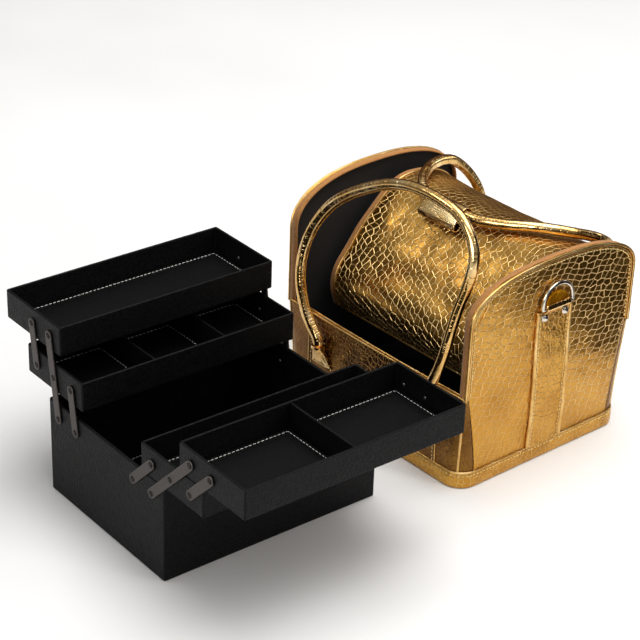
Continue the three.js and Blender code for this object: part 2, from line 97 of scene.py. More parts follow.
# Foil-faced PU leather, hot pressed with a crocodile plate: creased lines round darker, domed scales that
# each lean a little their own way, so that neighbours mirror different parts of the room. The creases' pale
# colour is a painted highlight.
def crocLeather(name, look):
    material, tree, shader = newMaterial(name, 0.3, 1.0)
    place = addNode(tree, "ShaderNodeUVMap", {"uv_map": "hide"}).outputs[0]
    drift = addNode(tree, "ShaderNodeTexNoise", {"Scale": 1000 / look["warpMm"], "Detail": 1.0},
                    {"Vector": place}).outputs["Color"]
    centred = addNode(tree, "ShaderNodeVectorMath", {"operation": "SUBTRACT", 1: (0.5, 0.5, 0.5)},
                      {0: drift}).outputs[0]
    pushed = addNode(tree, "ShaderNodeVectorMath", {"operation": "MULTIPLY_ADD", 1: (look["warpBy"],) * 3},
                     {0: centred, 2: place}).outputs[0]
    turned = addNode(tree, "ShaderNodeMapping",
                     {"Rotation": (0, 0, look["turn"]),
                      "Scale": (1000 / look["scaleWideMm"], 1000 / look["scaleTallMm"], 1)},
                     {"Vector": pushed}).outputs[0]
    shared = {"voronoi_dimensions": "2D", "Scale": 1.0, "Randomness": look["randomness"]}
    cells = addNode(tree, "ShaderNodeTexVoronoi", {**shared, "feature": "F1"}, {"Vector": turned})
    edges = addNode(tree, "ShaderNodeTexVoronoi", {**shared, "feature": "DISTANCE_TO_EDGE"},
                    {"Vector": turned}).outputs["Distance"]
    # The crease between scales, drawn about 1.2 mm wide so that it shows.
    sharpFace = addNode(tree, "ShaderNodeMapRange",
                        {"interpolation_type": "SMOOTHSTEP", "From Min": 0.0, "From Max": look["crease"]},
                        {"Value": edges}).outputs[0]
    # The plate presses deeper towards one end of the hide, and the creases fade out at the other, and their
    # painted highlight with them.
    reach = addNode(tree, "ShaderNodeVectorMath", {"operation": "DOT_PRODUCT", 1: look["fadeAlong"]},
                    {0: pushed}).outputs["Value"]
    faded = addNode(tree, "ShaderNodeMapRange",
                    {"interpolation_type": "SMOOTHSTEP", "From Min": look["fade"][0],
                     "From Max": look["fade"][1], "To Min": look["faint"], "To Max": 0.0},
                    {"Value": reach}).outputs[0]
    scaleFace = addNode(tree, "ShaderNodeMath", {"operation": "MAXIMUM"}, {0: sharpFace, 1: faded}).outputs[0]
    away = addNode(tree, "ShaderNodeVectorMath", {"operation": "SUBTRACT"},
                   {0: turned, 1: cells.outputs["Position"]}).outputs[0]
    ownWay = addNode(tree, "ShaderNodeVectorMath", {"operation": "SUBTRACT", 1: (0.5, 0.5, 0.5)},
                     {0: cells.outputs["Color"]}).outputs[0]
    lean = addNode(tree, "ShaderNodeVectorMath", {"operation": "DOT_PRODUCT"},
                   {0: away, 1: ownWay}).outputs["Value"]
    leaned = addNode(tree, "ShaderNodeMath", {"operation": "MULTIPLY_ADD", 1: look["lean"]},
                     {0: lean, 2: scaleFace}).outputs[0]
    # Fine crumpling of the foil, which runs slantwise and is deepest where the plate pressed least.
    slant = addNode(tree, "ShaderNodeMapping",
                    {"Rotation": (0, 0, 0.9),
                     "Scale": (1000 / look["wrinkleMm"], 420 / look["wrinkleMm"], 1)},
                    {"Vector": pushed}).outputs[0]
    wrinkle = addNode(tree, "ShaderNodeTexNoise",
                      {"noise_dimensions": "2D", "noise_type": "RIDGED_MULTIFRACTAL", "Scale": 1.0,
                       "Detail": 2.0, "Roughness": 0.5, "Offset": 0.9, "Gain": 1.4},
                      {"Vector": slant}).outputs["Fac"]
    depth = addNode(tree, "ShaderNodeMapRange",
                    {"To Min": look["wrinkle"], "To Max": look["bareWrinkle"]}, {"Value": faded}).outputs[0]
    height = addNode(tree, "ShaderNodeMath", {"operation": "MULTIPLY_ADD"},
                     {0: wrinkle, 1: depth, 2: leaned}).outputs[0]
    bump = addNode(tree, "ShaderNodeBump", {"Strength": look["press"], "Distance": look["reliefMm"] / 1000},
                   {"Height": height}).outputs[0]
    tree.links.new(bump, shader.inputs["Normal"])
    patches = addNode(tree, "ShaderNodeTexNoise", {"Scale": 1000 / look["patchMm"], "Detail": 2.0},
                      {"Vector": place}).outputs["Fac"]
    tone = addNode(tree, "ShaderNodeMath", {"operation": "MULTIPLY_ADD", 1: look["mottle"]},
                   {0: cells.outputs["Color"], 2: patches}).outputs[0]
    faceRamp = addNode(tree, "ShaderNodeValToRGB", links={"Fac": tone})
    rampColours(faceRamp, look["faces"])
    # The creases get a paler colour than the scales: a painted highlight for the light their ridges catch.
    mixed = addNode(tree, "ShaderNodeMix",
                    {"data_type": "RGBA", 6: hexToLinear(look["paintedCreaseHighlight"])},
                    {0: scaleFace, 7: faceRamp.outputs[0]}).outputs[2]
    tree.links.new(mixed, shader.inputs["Base Color"])
    gloss = addNode(tree, "ShaderNodeMapRange",
                    {"To Min": look["gloss"][0], "To Max": look["gloss"][1]}, {"Value": patches}).outputs[0]
    hazy = addNode(tree, "ShaderNodeMath", {"operation": "MULTIPLY_ADD", 1: look["haze"]},
                   {0: faded, 2: gloss}).outputs[0]
    worn = addNode(tree, "ShaderNodeMapRange", {"To Min": look["creaseHaze"], "To Max": 1.0},
                   {"Value": scaleFace}).outputs[0]
    roughness = addNode(tree, "ShaderNodeMath", {"operation": "MULTIPLY"}, {0: hazy, 1: worn}).outputs[0]
    tree.links.new(roughness, shader.inputs["Roughness"])
    return material


# Warp bends the rows of scales, press and relief are the stamp's depth, and the creases grow faint over
# the stretch "fade", in metres along "fadeAlong".
goldFaces = [(0.3, "#AE7A2C"), (0.5, "#C48F3C"), (0.75, "#D29F46")]
brownShadeFaces = [(0.3, "#8C6026"), (0.5, "#A67A36"), (0.75, "#BC8E42")]
umberShadeFaces = [(0.3, "#583A1A"), (0.5, "#714D23"), (0.75, "#88622D")]
# The cover is the end panels' gold leather, but its scales take darker brown colours: painted shade where it
# lies tucked into the bag.
coverLeather = crocLeather("croc_pressed_gold_leather", {
    "warpMm": 60, "warpBy": 0.016, "turn": 0.35, "scaleWideMm": 7.2, "scaleTallMm": 8.6, "randomness": 0.58,
    "crease": 0.085, "lean": 0.5, "wrinkleMm": 7, "wrinkle": 0.1, "bareWrinkle": 0.25, "press": 0.75,
    "reliefMm": 0.65, "patchMm": 55, "mottle": 0.12, "faces": brownShadeFaces, "paintedCreaseHighlight": "#FFE2A6",
    "gloss": (0.22, 0.32), "haze": 0.12, "creaseHaze": 1.3, "fadeAlong": (0, -1, 0),
    "fade": (-0.23, -0.17), "faint": 0.6})
panelLeather = crocLeather("croc_pressed_gold_end_leather", {
    "warpMm": 90, "warpBy": 0.02, "turn": 0.34, "scaleWideMm": 11.5, "scaleTallMm": 7.6, "randomness": 0.52,
    "crease": 0.07, "lean": 0.7, "wrinkleMm": 5, "wrinkle": 0.18, "bareWrinkle": 0.7, "press": 0.95,
    "reliefMm": 0.75, "patchMm": 70, "mottle": 0.08, "faces": goldFaces, "paintedCreaseHighlight": "#FFDFA0",
    "gloss": (0.24, 0.35), "haze": 0.08, "creaseHaze": 1.0, "fadeAlong": (0.45, 1, 0),
    "fade": (0.02, 0.17), "faint": 0.74})
# The long walls are the same gold leather as the band, but their scales take darker umber colours: painted
# shade, and a painted dark reflection of the black insert.
wallPress = {
    "warpMm": 40, "warpBy": 0.014, "turn": 0.1, "scaleWideMm": 7.5, "scaleTallMm": 7, "randomness": 0.8,
    "crease": 0.08, "lean": 0.5, "wrinkleMm": 4.5, "wrinkle": 0.35, "bareWrinkle": 0.5, "press": 0.8,
    "reliefMm": 0.65, "patchMm": 45, "mottle": 0.12, "faces": umberShadeFaces, "paintedCreaseHighlight": "#966C34",
    "gloss": (0.24, 0.36), "haze": 0.0, "creaseHaze": 1.2, "fadeAlong": (0, 1, 0),
    "fade": (-0.5, -0.4), "faint": 1.0}
shadedWallLeather = crocLeather("croc_pressed_gold_wall_leather_painted_shade", wallPress)
bandLeather = crocLeather("croc_pressed_gold_band_leather", {**wallPress, "faces": goldFaces,
                                                            "paintedCreaseHighlight": "#F2CB80"})


# The same foil leather left smooth and pulled round a cord: it crackles in fine rings across the tube.
def foilLeather(name, look):
    material, tree, shader = newMaterial(name, 0.22, 1.0)
    place = addNode(tree, "ShaderNodeUVMap", {"uv_map": "hide"}).outputs[0]
    stretched = addNode(tree, "ShaderNodeMapping",
                        {"Scale": (1000 / look["ringMm"], 1000 / look["ringLongMm"], 1)},
                        {"Vector": place}).outputs[0]
    rings = addNode(tree, "ShaderNodeTexNoise",
                    {"noise_dimensions": "2D", "Scale": 1.0, "Detail": 2.0, "Roughness": 0.5,
                     "Distortion": 0.25}, {"Vector": stretched}).outputs["Fac"]
    sharp = addNode(tree, "ShaderNodeMapRange",
                    {"interpolation_type": "SMOOTHSTEP", "From Min": 0.36, "From Max": 0.46},
                    {"Value": rings}).outputs[0]
    bump = addNode(tree, "ShaderNodeBump", {"Strength": look["press"], "Distance": 0.0005},
                   {"Height": sharp}).outputs[0]
    tree.links.new(bump, shader.inputs["Normal"])
    patches = addNode(tree, "ShaderNodeTexNoise", {"Scale": 1000 / 38, "Detail": 2.0},
                      {"Vector": place}).outputs["Fac"]
    ramp = addNode(tree, "ShaderNodeValToRGB", links={"Fac": patches})
    rampColours(ramp, [(0.3, look["deep"]), (0.5, look["body"]), (0.7, look["pale"])])
    creased = addNode(tree, "ShaderNodeMix",
                      {"data_type": "RGBA", "blend_type": "MULTIPLY", 0: 0.22,
                       7: hexToLinear("#9A6A28")}, {6: ramp.outputs[0]})
    faint = addNode(tree, "ShaderNodeMix", {"data_type": "RGBA"},
                    {0: sharp, 6: creased.outputs[2], 7: ramp.outputs[0]}).outputs[2]
    tree.links.new(faint, shader.inputs["Base Color"])
    gloss = addNode(tree, "ShaderNodeMapRange",
                    {"To Min": look["gloss"][0], "To Max": look["gloss"][1]}, {"Value": rings}).outputs[0]
    tree.links.new(gloss, shader.inputs["Roughness"])
    return material


tubeLeather = foilLeather("rolled_gold_leather", {
    "ringMm": 2.6, "ringLongMm": 34, "press": 0.3, "deep": "#CA9C54", "body": "#E2BA78",
    "pale": "#F4D8A2", "gloss": (0.07, 0.16)})
# Where the foil faces itself in a fold, amber colours are painted in: a painted reflection of light bounced
# between the facing gold.
amberReflectionLeather = foilLeather("folded_gold_leather_painted_reflection", {
    "ringMm": 4, "ringLongMm": 6, "press": 0.6, "deep": "#B8740C", "body": "#E09A18",
    "pale": "#FFC23A", "gloss": (0.3, 0.45)})
pipingLeather = foilLeather("piping_gold_leather", {
    "ringMm": 5, "ringLongMm": 12, "press": 0.3, "deep": "#C4964C", "body": "#DDB46E",
    "pale": "#F6D89C", "gloss": (0.26, 0.38)})


# PU-coated black cloth with a pebbled print, glued over board: matt, with a faint grain that catches light.
def pebbled(name, colours, grainMm, roughness, press):
    material, tree, shader = newMaterial(name, roughness, Specular_IOR_Level=0.1)
    place = addNode(tree, "ShaderNodeTexCoord").outputs["Object"]
    grain = addNode(tree, "ShaderNodeTexVoronoi",
                    {"feature": "SMOOTH_F1", "Scale": 1000 / grainMm, "Smoothness": 0.4},
                    {"Vector": place}).outputs["Distance"]
    uneven = addNode(tree, "ShaderNodeTexNoise", {"Scale": 1000 / (grainMm * 3), "Detail": 3.0},
                     {"Vector": place}).outputs["Fac"]
    height = addNode(tree, "ShaderNodeMath", {"operation": "MULTIPLY_ADD", 1: 0.7},
                     {0: uneven, 2: grain}).outputs[0]
    bump = addNode(tree, "ShaderNodeBump", {"Strength": press, "Distance": 0.0005},
                   {"Height": height}).outputs[0]
    tree.links.new(bump, shader.inputs["Normal"])
    ramp = addNode(tree, "ShaderNodeValToRGB", links={"Fac": grain})
    rampColours(ramp, [(0.15, colours[0]), (0.75, colours[1])])
    tree.links.new(ramp.outputs[0], shader.inputs["Base Color"])
    spread = addNode(tree, "ShaderNodeMapRange",
                     {"To Min": roughness - 0.08, "To Max": roughness + 0.12}, {"Value": uneven}).outputs[0]
    tree.links.new(spread, shader.inputs["Roughness"])
    return material


leatherette = pebbled("pebbled_black_leatherette", ("#151516", "#070708"), 2.2, 0.44, 0.8)
matLeather = pebbled("fine_grain_black_leatherette", ("#0C0C0D", "#050505"), 1.6, 0.44, 0.6)


# Plain-woven cloth: over-and-under threads, drawn coarser than real so that they show.
def wovenCloth(name, colours, threadMm, roughness, sheen):
    material, tree, shader = newMaterial(name, roughness, Sheen_Weight=sheen, Specular_IOR_Level=0.3)
    place = addNode(tree, "ShaderNodeTexCoord").outputs["Object"]
    scaled = addNode(tree, "ShaderNodeMapping", {"Scale": (1000 / threadMm,) * 3},
                     {"Vector": place}).outputs[0]
    weave = addNode(tree, "ShaderNodeTexChecker", {"Scale": 1.0}, {"Vector": scaled}).outputs["Fac"]
    fuzz = addNode(tree, "ShaderNodeTexNoise", {"Scale": 1000 / (threadMm * 2.5), "Detail": 4.0},
                   {"Vector": place}).outputs["Fac"]
    height = addNode(tree, "ShaderNodeMath", {"operation": "MULTIPLY_ADD", 1: 0.4},
                     {0: weave, 2: fuzz}).outputs[0]
    bump = addNode(tree, "ShaderNodeBump", {"Strength": 0.5, "Distance": 0.0003},
                   {"Height": height}).outputs[0]
    tree.links.new(bump, shader.inputs["Normal"])
    ramp = addNode(tree, "ShaderNodeValToRGB", links={"Fac": height})
    rampColours(ramp, [(0.3, colours[0]), (0.9, colours[1])])
    tree.links.new(ramp.outputs[0], shader.inputs["Base Color"])
    return material


zipTape = wovenCloth("woven_tan_zip_tape", ("#8E5A28", "#C48846"), 0.9, 0.72, 0.2)
lining = wovenCloth("woven_black_lining", ("#0B0A0A", "#171515"), 0.8, 0.85, 0.05)
whiteThread = wovenCloth("bonded_white_thread", ("#C9C7C2", "#F4F2EC"), 0.5, 0.6, 0.1)
# The gold thread's pale colours are partly its own and partly a painted highlight, so that each row of
# stitches shows as a bright dotted line.
highlitGoldThread = wovenCloth("bonded_gold_thread_painted_highlight", ("#E8BC58", "#FFEFB0"), 0.5, 0.4, 0.1)


# Metals: stamped plate with a brushed direction, or polished plating with faint handling marks.
def workedMetal(name, colour, roughness, stretch, press):
    material, tree, shader = newMaterial(name, roughness, 1.0)
    place = addNode(tree, "ShaderNodeTexCoord").outputs["Object"]
    drawn = addNode(tree, "ShaderNodeMapping", {"Scale": stretch}, {"Vector": place}).outputs[0]
    marks = addNode(tree, "ShaderNodeTexNoise", {"Scale": 400.0, "Detail": 5.0, "Roughness": 0.65},
                    {"Vector": drawn}).outputs["Fac"]
    spread = addNode(tree, "ShaderNodeMapRange",
                     {"To Min": roughness * 0.7, "To Max": roughness * 1.35}, {"Value": marks}).outputs[0]
    tree.links.new(spread, shader.inputs["Roughness"])
    ramp = addNode(tree, "ShaderNodeValToRGB", links={"Fac": marks})
    rampColours(ramp, [(0.3, colour[0]), (0.7, colour[1])])
    tree.links.new(ramp.outputs[0], shader.inputs["Base Color"])
    bump = addNode(tree, "ShaderNodeBump", {"Strength": press, "Distance": 0.0002},
                   {"Height": marks}).outputs[0]
    tree.links.new(bump, shader.inputs["Normal"])
    return material


armSteel = workedMetal("blackened_steel_plate", ("#3D3937", "#5C5652"), 0.44, (1, 0.2, 1), 0.15)
rivetSteel = workedMetal("blackened_steel_rivet", ("#211F1E", "#3B3836"), 0.4, (1, 1, 1), 0.1)
nickel = workedMetal("bright_nickel_plate", ("#C9C2B6", "#E4DED2"), 0.14, (1, 1, 1), 0.04)
print("materials made:", len(bpy.data.materials))


# Mesh helpers
def buildMesh(name, parts, place, materials):
    points, faces, hides, numbers = [], [], [], []
    for partPoints, partFaces, partHides, number in parts:
        start = len(points)
        points.extend(partPoints)
        faces.extend([[index + start for index in face] for face in partFaces])
        hides.extend(partHides if partHides else [(p[0], p[1]) for p in partPoints])
        numbers.extend([number] * len(partFaces))
    mesh = bpy.data.meshes.new(name)
    mesh.from_pydata([place @ Vector(p) for p in points], [], faces)
    layer = mesh.uv_layers.new(name="hide")
    for loop in mesh.loops:
        u, v = hides[loop.vertex_index]
        layer.data[loop.index].uv = (u / 1000, v / 1000)
    for polygon, number in zip(mesh.polygons, numbers):
        polygon.material_index = number
        polygon.use_smooth = True
    for material in materials:
        mesh.materials.append(material)
    mesh.validate()
    piece = bpy.data.objects.new(name, mesh)
    bpy.context.scene.collection.objects.link(piece)
    return piece


# A part is its points, faces, places on the hide in millimetres, and material number.
def gridPart(rows, hides, number=0, closedColumns=False, closedRows=False, capped=False):
    count, wide = len(rows), len(rows[0])
    faces = []
    for i in range(count if closedRows else count - 1):
        for j in range(wide if closedColumns else wide - 1):
            a, b = i * wide, ((i + 1) % count) * wide
            k = (j + 1) % wide
            faces.append([a + j, a + k, b + k, b + j])
    if capped:
        faces.append(list(range(wide))[::-1])
        faces.append([(count - 1) * wide + k for k in range(wide)])
    return [p for row in rows for p in row], faces, [h for row in hides for h in row], number


def seenAlong(rows, across, up):
    return [[(p[across], p[up]) for p in row] for row in rows]


def runLengths(path):
    lengths = [0.0]
    for a, b in zip(path, path[1:]):
        lengths.append(lengths[-1] + (Vector(b) - Vector(a)).length)
    return lengths


def resample(path, count):
    path = [Vector(p) for p in path]
    lengths = runLengths(path)
    made, k = [], 0
    for i in range(count):
        target = lengths[-1] * i / (count - 1)
        while k < len(path) - 2 and lengths[k + 1] < target:
            k += 1
        share = (target - lengths[k]) / max(lengths[k + 1] - lengths[k], 1e-9)
        made.append(path[k].lerp(path[k + 1], min(max(share, 0), 1)))
    return made


# Centripetal, as the CAD draws its tubes.
def catmullRom(points, count):
    points = [Vector(p) for p in points]
    first = points[0] * 2 - points[1]
    last = points[-1] * 2 - points[-2]
    ends = [first, *points, last]
    made = []
    for a, b, c, d in zip(ends, ends[1:], ends[2:], ends[3:]):
        t1 = (b - a).length ** 0.5
        t2 = t1 + (c - b).length ** 0.5
        t3 = t2 + (d - c).length ** 0.5
        for step in range(12):
            t = t1 + (t2 - t1) * step / 12
            ab = a.lerp(b, t / t1)
            bc = b.lerp(c, (t - t1) / (t2 - t1))
            cd = c.lerp(d, (t - t2) / (t3 - t2))
            abc = ab.lerp(bc, t / t2)
            bcd = bc.lerp(cd, (t - t1) / (t3 - t1))
            made.append(abc.lerp(bcd, (t - t1) / (t2 - t1)))
    made.append(points[-1])
    return resample(made, count)


# A section swept along a path. section(share, angle) is the radius, and aim a point the seam side faces.
def tubePart(path, section, sides=12, closed=False, aim=None, number=0):
    path = [Vector(p) for p in path]
    radius = section if callable(section) else lambda share, angle: section
    lengths = runLengths(path + [path[0]] if closed else path)
    count = len(path)
    rows, hides = [], []
    side = None
    for i, p in enumerate(path):
        before = path[i - 1] if closed or i > 0 else path[0]
        after = path[(i + 1) % count] if closed or i < count - 1 else path[-1]
        along = (after - before).normalized()
        if aim is not None:
            side = Vector(aim) - p
        elif side is None:
            side = Vector((0, 0, 1)) if abs(along.z) < 0.9 else Vector((0, 1, 0))
        side = (side - along * side.dot(along)).normalized()
        other = along.cross(side)
        share = lengths[i] / lengths[-1]
        row, hide = [], []
        for k in range(sides):
            angle = 2 * math.pi * k / sides
            r = radius(share, angle)
            row.append(p + side * (r * math.cos(angle)) + other * (r * math.sin(angle)))
            hide.append((lengths[i], angle * 5))
        rows.append(row)
        hides.append(hide)
    return gridPart(rows, hides, number, True, closed, not closed)


# One row of stitches: short rounded threads that dive into the leather at both ends. The bulge of one
# is (place along it, lift, radius), as shares of its half length and half thickness.
stitchBulge = [(-1, -0.9, 0.45), (-0.75, -0.1, 0.9), (0, 0.25, 1.0), (0.75, -0.1, 0.9), (1, -0.9, 0.45)]


def stitchParts(path, out, look):
    path = [Vector(p) for p in path]
    total = runLengths(path)[-1]
    count = max(int(total / look["pitch"]), 1)
    stations = resample(path, count * 4 + 1)
    half, thick = look["length"] / 2, look["thick"] / 2
    parts = []
    for i in range(count):
        p = stations[i * 4 + 2]
        along = (stations[i * 4 + 3] - stations[i * 4 + 1]).normalized()
        normal = Vector(out(p)) if callable(out) else Vector(out)
        normal = (normal - along * normal.dot(along)).normalized()
        across = along.cross(normal)
        rows = []
        for step, lift, r in stitchBulge:
            middle = p + along * (half * step) + normal * (thick * lift)
            rows.append([middle + across * (thick * r * math.cos(a)) + normal * (thick * r * math.sin(a))
                         for a in [math.pi * k / 3 for k in range(6)]])
        parts.append(gridPart(rows, seenAlong(rows, 0, 1), 0, True))
    return parts


def finishPiece(piece, body, stands=(), modifiers=()):
    for kind, settings in modifiers:
        modifier = piece.modifiers.new(kind.lower(), kind)
        for key, value in settings.items():
            setattr(modifier, key, value)
    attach(piece, body)
    if stands:
        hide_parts(*stands)
    return piece


flatFaces = ("WEIGHTED_NORMAL", {"mode": "FACE_AREA", "keep_sharp": False})


def roundedRing(lowX, highX, lowY, highY, z, radius, steps=4):
    ring = []
    for x, y, start in [(highX - radius, highY - radius, 0), (lowX + radius, highY - radius, 1),
                        (lowX + radius, lowY + radius, 2), (highX - radius, lowY + radius, 3)]:
        for k in range(steps + 1):
            angle = math.pi / 2 * (start + k / steps)
            ring.append((x + radius * math.cos(angle), y + radius * math.sin(angle), z))
    return ring


# A stack of rounded rectangles, closed at both ends: steps are (inset, height, corner radius).
def stackPart(low, high, steps):
    rows = []
    for inset, z, radius in steps:
        rows.append(roundedRing(low[0] + inset, high[0] - inset, low[1] + inset, high[1] - inset, z, radius))
    hides = [[(p[0], p[1] + p[2]) for p in row] for row in rows]
    return gridPart(rows, hides, 0, True, capped=True)


# A shape turned about an axis: profile is (radius, distance along the axis).
def turnedPart(place, profile, sides=20, number=0):
    rows = []
    for r, d in profile:
        rows.append([place @ Vector((r * math.cos(2 * math.pi * k / sides),
                                     r * math.sin(2 * math.pi * k / sides), d)) for k in range(sides)])
    return gridPart(rows, seenAlong(rows, 0, 2), number, True, capped=True)


def boxOf(node):
    low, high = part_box(node)
    return low * 1000, high * 1000


# The insert: boards and trays wrapped in leatherette, which turns over every edge in a small radius.
boardLook = {"edge": 1.1, "corner": 2.2, "innerCorner": 1.2, "trayWall": 3.0, "boxWall": 4.0, "floor": 3.0}
dividerLook = [(0, 1.2, 0.9), (0.4, 0.4, 0.7), (1.0, 0, 0.35)]


def wrappedShell(name, low, high, wall, floor, body, stands):
    edge, corner = boardLook["edge"], boardLook["corner"]
    inner = boardLook["innerCorner"]
    bottom, top = low[2], high[2]
    steps = [(edge, bottom, corner - edge), (edge * 0.3, bottom + edge * 0.3, corner),
             (0, bottom + edge, corner), (0, top - edge, corner),
             (edge * 0.3, top - edge * 0.3, corner), (edge, top, corner - 0.3),
             (wall - edge, top, inner + 0.5), (wall - edge * 0.3, top - edge * 0.3, inner),
             (wall, top - edge, inner), (wall, bottom + floor + 0.6, inner),
             (wall + 0.6, bottom + floor, inner)]
    shell = buildMesh(name, [stackPart(low, high, steps)], rowPlace, [leatherette])
    return finishPiece(shell, body, stands, [flatFaces])


# The mat's profile runs inwards as (inset, height, corner radius), with the stitches in its groove.
matLook = {"inset": 5.6, "seamUp": 1.95, "pitch": 5.2, "length": 3.7, "thick": 0.72,
           "profile": [(0.4, 0, 1.0), (0, 0.6, 1.4), (0.5, 1.5, 1.6), (2.2, 1.95, 1.8), (4.4, 1.95, 2),
                       (5.2, 1.6, 2), (6.0, 1.6, 2), (6.8, 2.0, 2), (11, 2.35, 3), (18, 2.5, 4)]}


def stitchedMat(node, body):
    low, high = boxOf(node)
    steps = [(inset, low.z + up, radius) for inset, up, radius in matLook["profile"]]
    name = node.replace("mat", "stitched_mat")
    pad = buildMesh(name, [stackPart(low, high, steps)], rowPlace, [matLeather])
    finishPiece(pad, body, [node])
    inset = matLook["inset"]
    ring = roundedRing(low.x + inset, high.x - inset, low.y + inset, high.y - inset,
                       low.z + matLook["seamUp"], 2.5, 3)
    thread = buildMesh(node.replace("mat", "stitches"), stitchParts(ring + ring[:1], (0, 0, 1), matLook),
                       rowPlace, [whiteThread])
    finishPiece(thread, body)


def wrappedDivider(node, body):
    low, high = boxOf(node)
    steps = [(0, low.z, 0.4), *[(inset, high.z - down, radius) for inset, down, radius in dividerLook]]
    board = buildMesh(node + "_board", [stackPart(low, high, steps)], rowPlace, [leatherette])
    finishPiece(board, body, [node], [flatFaces])


armLook = {"round": 5.75, "thick": 2.0, "rivetRise": 1.25, "edge": 0.45,
           "dome": [(1.8, -2.5), (3.4, -0.02), (3.4, 0.35), (3.06, 0.75), (2.108, 1.12), (1.02, 1.22),
                    (0.05, 1.25)],
           "button": [(2.1, -0.2), (2.3, 0.1), (2.15, 0.6), (1.4, 1.0), (0.05, 1.15)],
           "walls": {"long": [4, 3, 3], "inner": [4, 3], "outer": [3, 3]}}


# An arm is read back from its CAD box: round ends, so its end pivots lie one radius in from the box.
def linkArm(side, kind, end):
    node = f"{side}_{kind}_arm_{end}"
    low, high = boxOf(node)
    r, edge, thick = armLook["round"], armLook["edge"], armLook["thick"]
    hand = 1 if side == "right" else -1
    foot = Vector((low.x + r if hand > 0 else high.x - r, 0, low.z + r))
    head = Vector((high.x - r if hand > 0 else low.x + r, 0, high.z - r))
    out = -1 if end == "outer_end" else 1
    face = low.y + armLook["rivetRise"] if out < 0 else high.y - armLook["rivetRise"]
    along = (head - foot).normalized()
    across = Vector((-along.z, 0, along.x))
    rows = []
    for shrink, depth in [(edge * 2, 0), (edge * 0.6, edge * 0.3), (0, edge), (0, thick - edge),
                          (edge * 0.6, thick - edge * 0.3), (edge * 2, thick)]:
        row = []
        for centre, halfTurn in [(head, 1), (foot, 0)]:
            for k in range(11):
                angle = math.pi * (k / 10 + halfTurn) + math.pi / 2
                turn = along * math.cos(angle) + across * math.sin(angle)
                row.append(centre + turn * (r - shrink) + Vector((0, face - out * depth, 0)))
        rows.append(row)
    bar = gridPart(rows, seenAlong(rows, 0, 2), 0, True, capped=True)
    body = f"{side}_{kind}_arms"
    plate = buildMesh(node + "_plate", [bar], rowPlace, [armSteel])
    finishPiece(plate, body, [node], [flatFaces])
    # Each rivet goes through the wall it meets, with a domed head outside and a flat button inside.
    walls = armLook["walls"][kind]
    insertEnd = caseLow.y * 1000 if out < 0 else caseHigh.y * 1000
    heads = []
    for i, wall in enumerate(walls):
        centre = foot.lerp(head, i / (len(walls) - 1))
        outside = Matrix.Translation((centre.x, face, centre.z)) @ Matrix.Rotation(-out * math.pi / 2, 4, "X")
        heads.append(turnedPart(outside, armLook["dome"]))
        inY = insertEnd - out * (wall + 0.25)
        inside = Matrix.Translation((centre.x, inY, centre.z)) @ Matrix.Rotation(out * math.pi / 2, 4, "X")
        heads.append(turnedPart(inside, armLook["button"], number=1))
    rivets = buildMesh(node + "_rivets", heads, rowPlace, [rivetSteel, armSteel])
    finishPiece(rivets, body)


def makeInsert():
    walls = ["insert_wall_left", "insert_wall_right", "insert_wall_outer_end", "insert_wall_bag_end"]
    boxes = [boxOf(node) for node in walls]
    low = Vector(min(b[0][k] for b in boxes) for k in range(3))
    high = Vector(max(b[1][k] for b in boxes) for k in range(3))
    wrappedShell("insert_box", low, high, boardLook["boxWall"], boardLook["boxWall"], "insert",
                 [*walls, "insert_floor"])
    stitchedMat("insert_mat", "insert")
    for side in ["left", "right"]:
        for level in ["lower", "upper"]:
            body = f"{side}_{level}_tray"
            wall, floor = boardLook["trayWall"], boardLook["floor"]
            wrappedShell(body + "_shell", *boxOf(body), wall, floor, body, [body])
            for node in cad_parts:
                if node.startswith(body + "_divider"):
                    wrappedDivider(node, body)
                if node.startswith(body + "_mat"):
                    stitchedMat(node, body)
        for kind in ["long", "inner", "outer"]:
            for end in ["outer_end", "bag_end"]:
                linkArm(side, kind, end)
    print("insert made")


makeInsert()


# The bag's driving sizes, in millimetres.
bag = {"halfLong": 151.0, "halfDeep": 129.0, "front": 118.0, "back": 140.0, "shoulder": 205.0,
       "archPower": 2.4, "wall": 3.0, "corner": 22.0, "cornerTop": 5.0, "band": 19.0,
       "rise": {"left": 62.0, "right": 51.0}}
endLook = {"bellyTop": 165, "bellyWide": 262, "belly": 2.4, "creases": 0.8, "squares": 60,
           "lean": {"left": 0.06, "right": 0.02}}
thinShell = {"offset": -1.0, "material_offset": 1, "use_quality_normals": True}
softer = ("SUBSURF", {"levels": 1, "render_levels": 1})


def signedPower(value, power):
    return math.copysign(abs(value) ** power, value)


# The corner is round at the base and tightens towards the zip.
def cornerAt(z, top):
    share = min(max((z - bag["band"]) / (top - bag["band"]), 0), 1)
    return bag["corner"] + (bag["cornerTop"] - bag["corner"]) * share ** 1.3


def archAt(side, angle, inset=0.0):
    power = 2 / bag["archPower"]
    y = (bag["halfDeep"] - inset) * signedPower(math.cos(angle), power)
    return y, bag["shoulder"] + (bag["rise"][side] - inset) * abs(math.sin(angle)) ** power


# The zipped edge of an end: up the front edge, over the arch and down to the back wall.
def archRun(side, inset=0.0, low=None, high=None, steps=72):
    low = bag["front"] if low is None else low
    high = bag["back"] if high is None else high
    reach = bag["halfDeep"] - inset
    rising = [(-reach, low + (bag["shoulder"] - low) * k / 10) for k in range(10)]
    over = [archAt(side, math.pi * (1 - k / steps), inset) for k in range(steps + 1)]
    falling = [(reach, bag["shoulder"] + (high - bag["shoulder"]) * k / 8) for k in range(1, 9)]
    return rising + over + falling


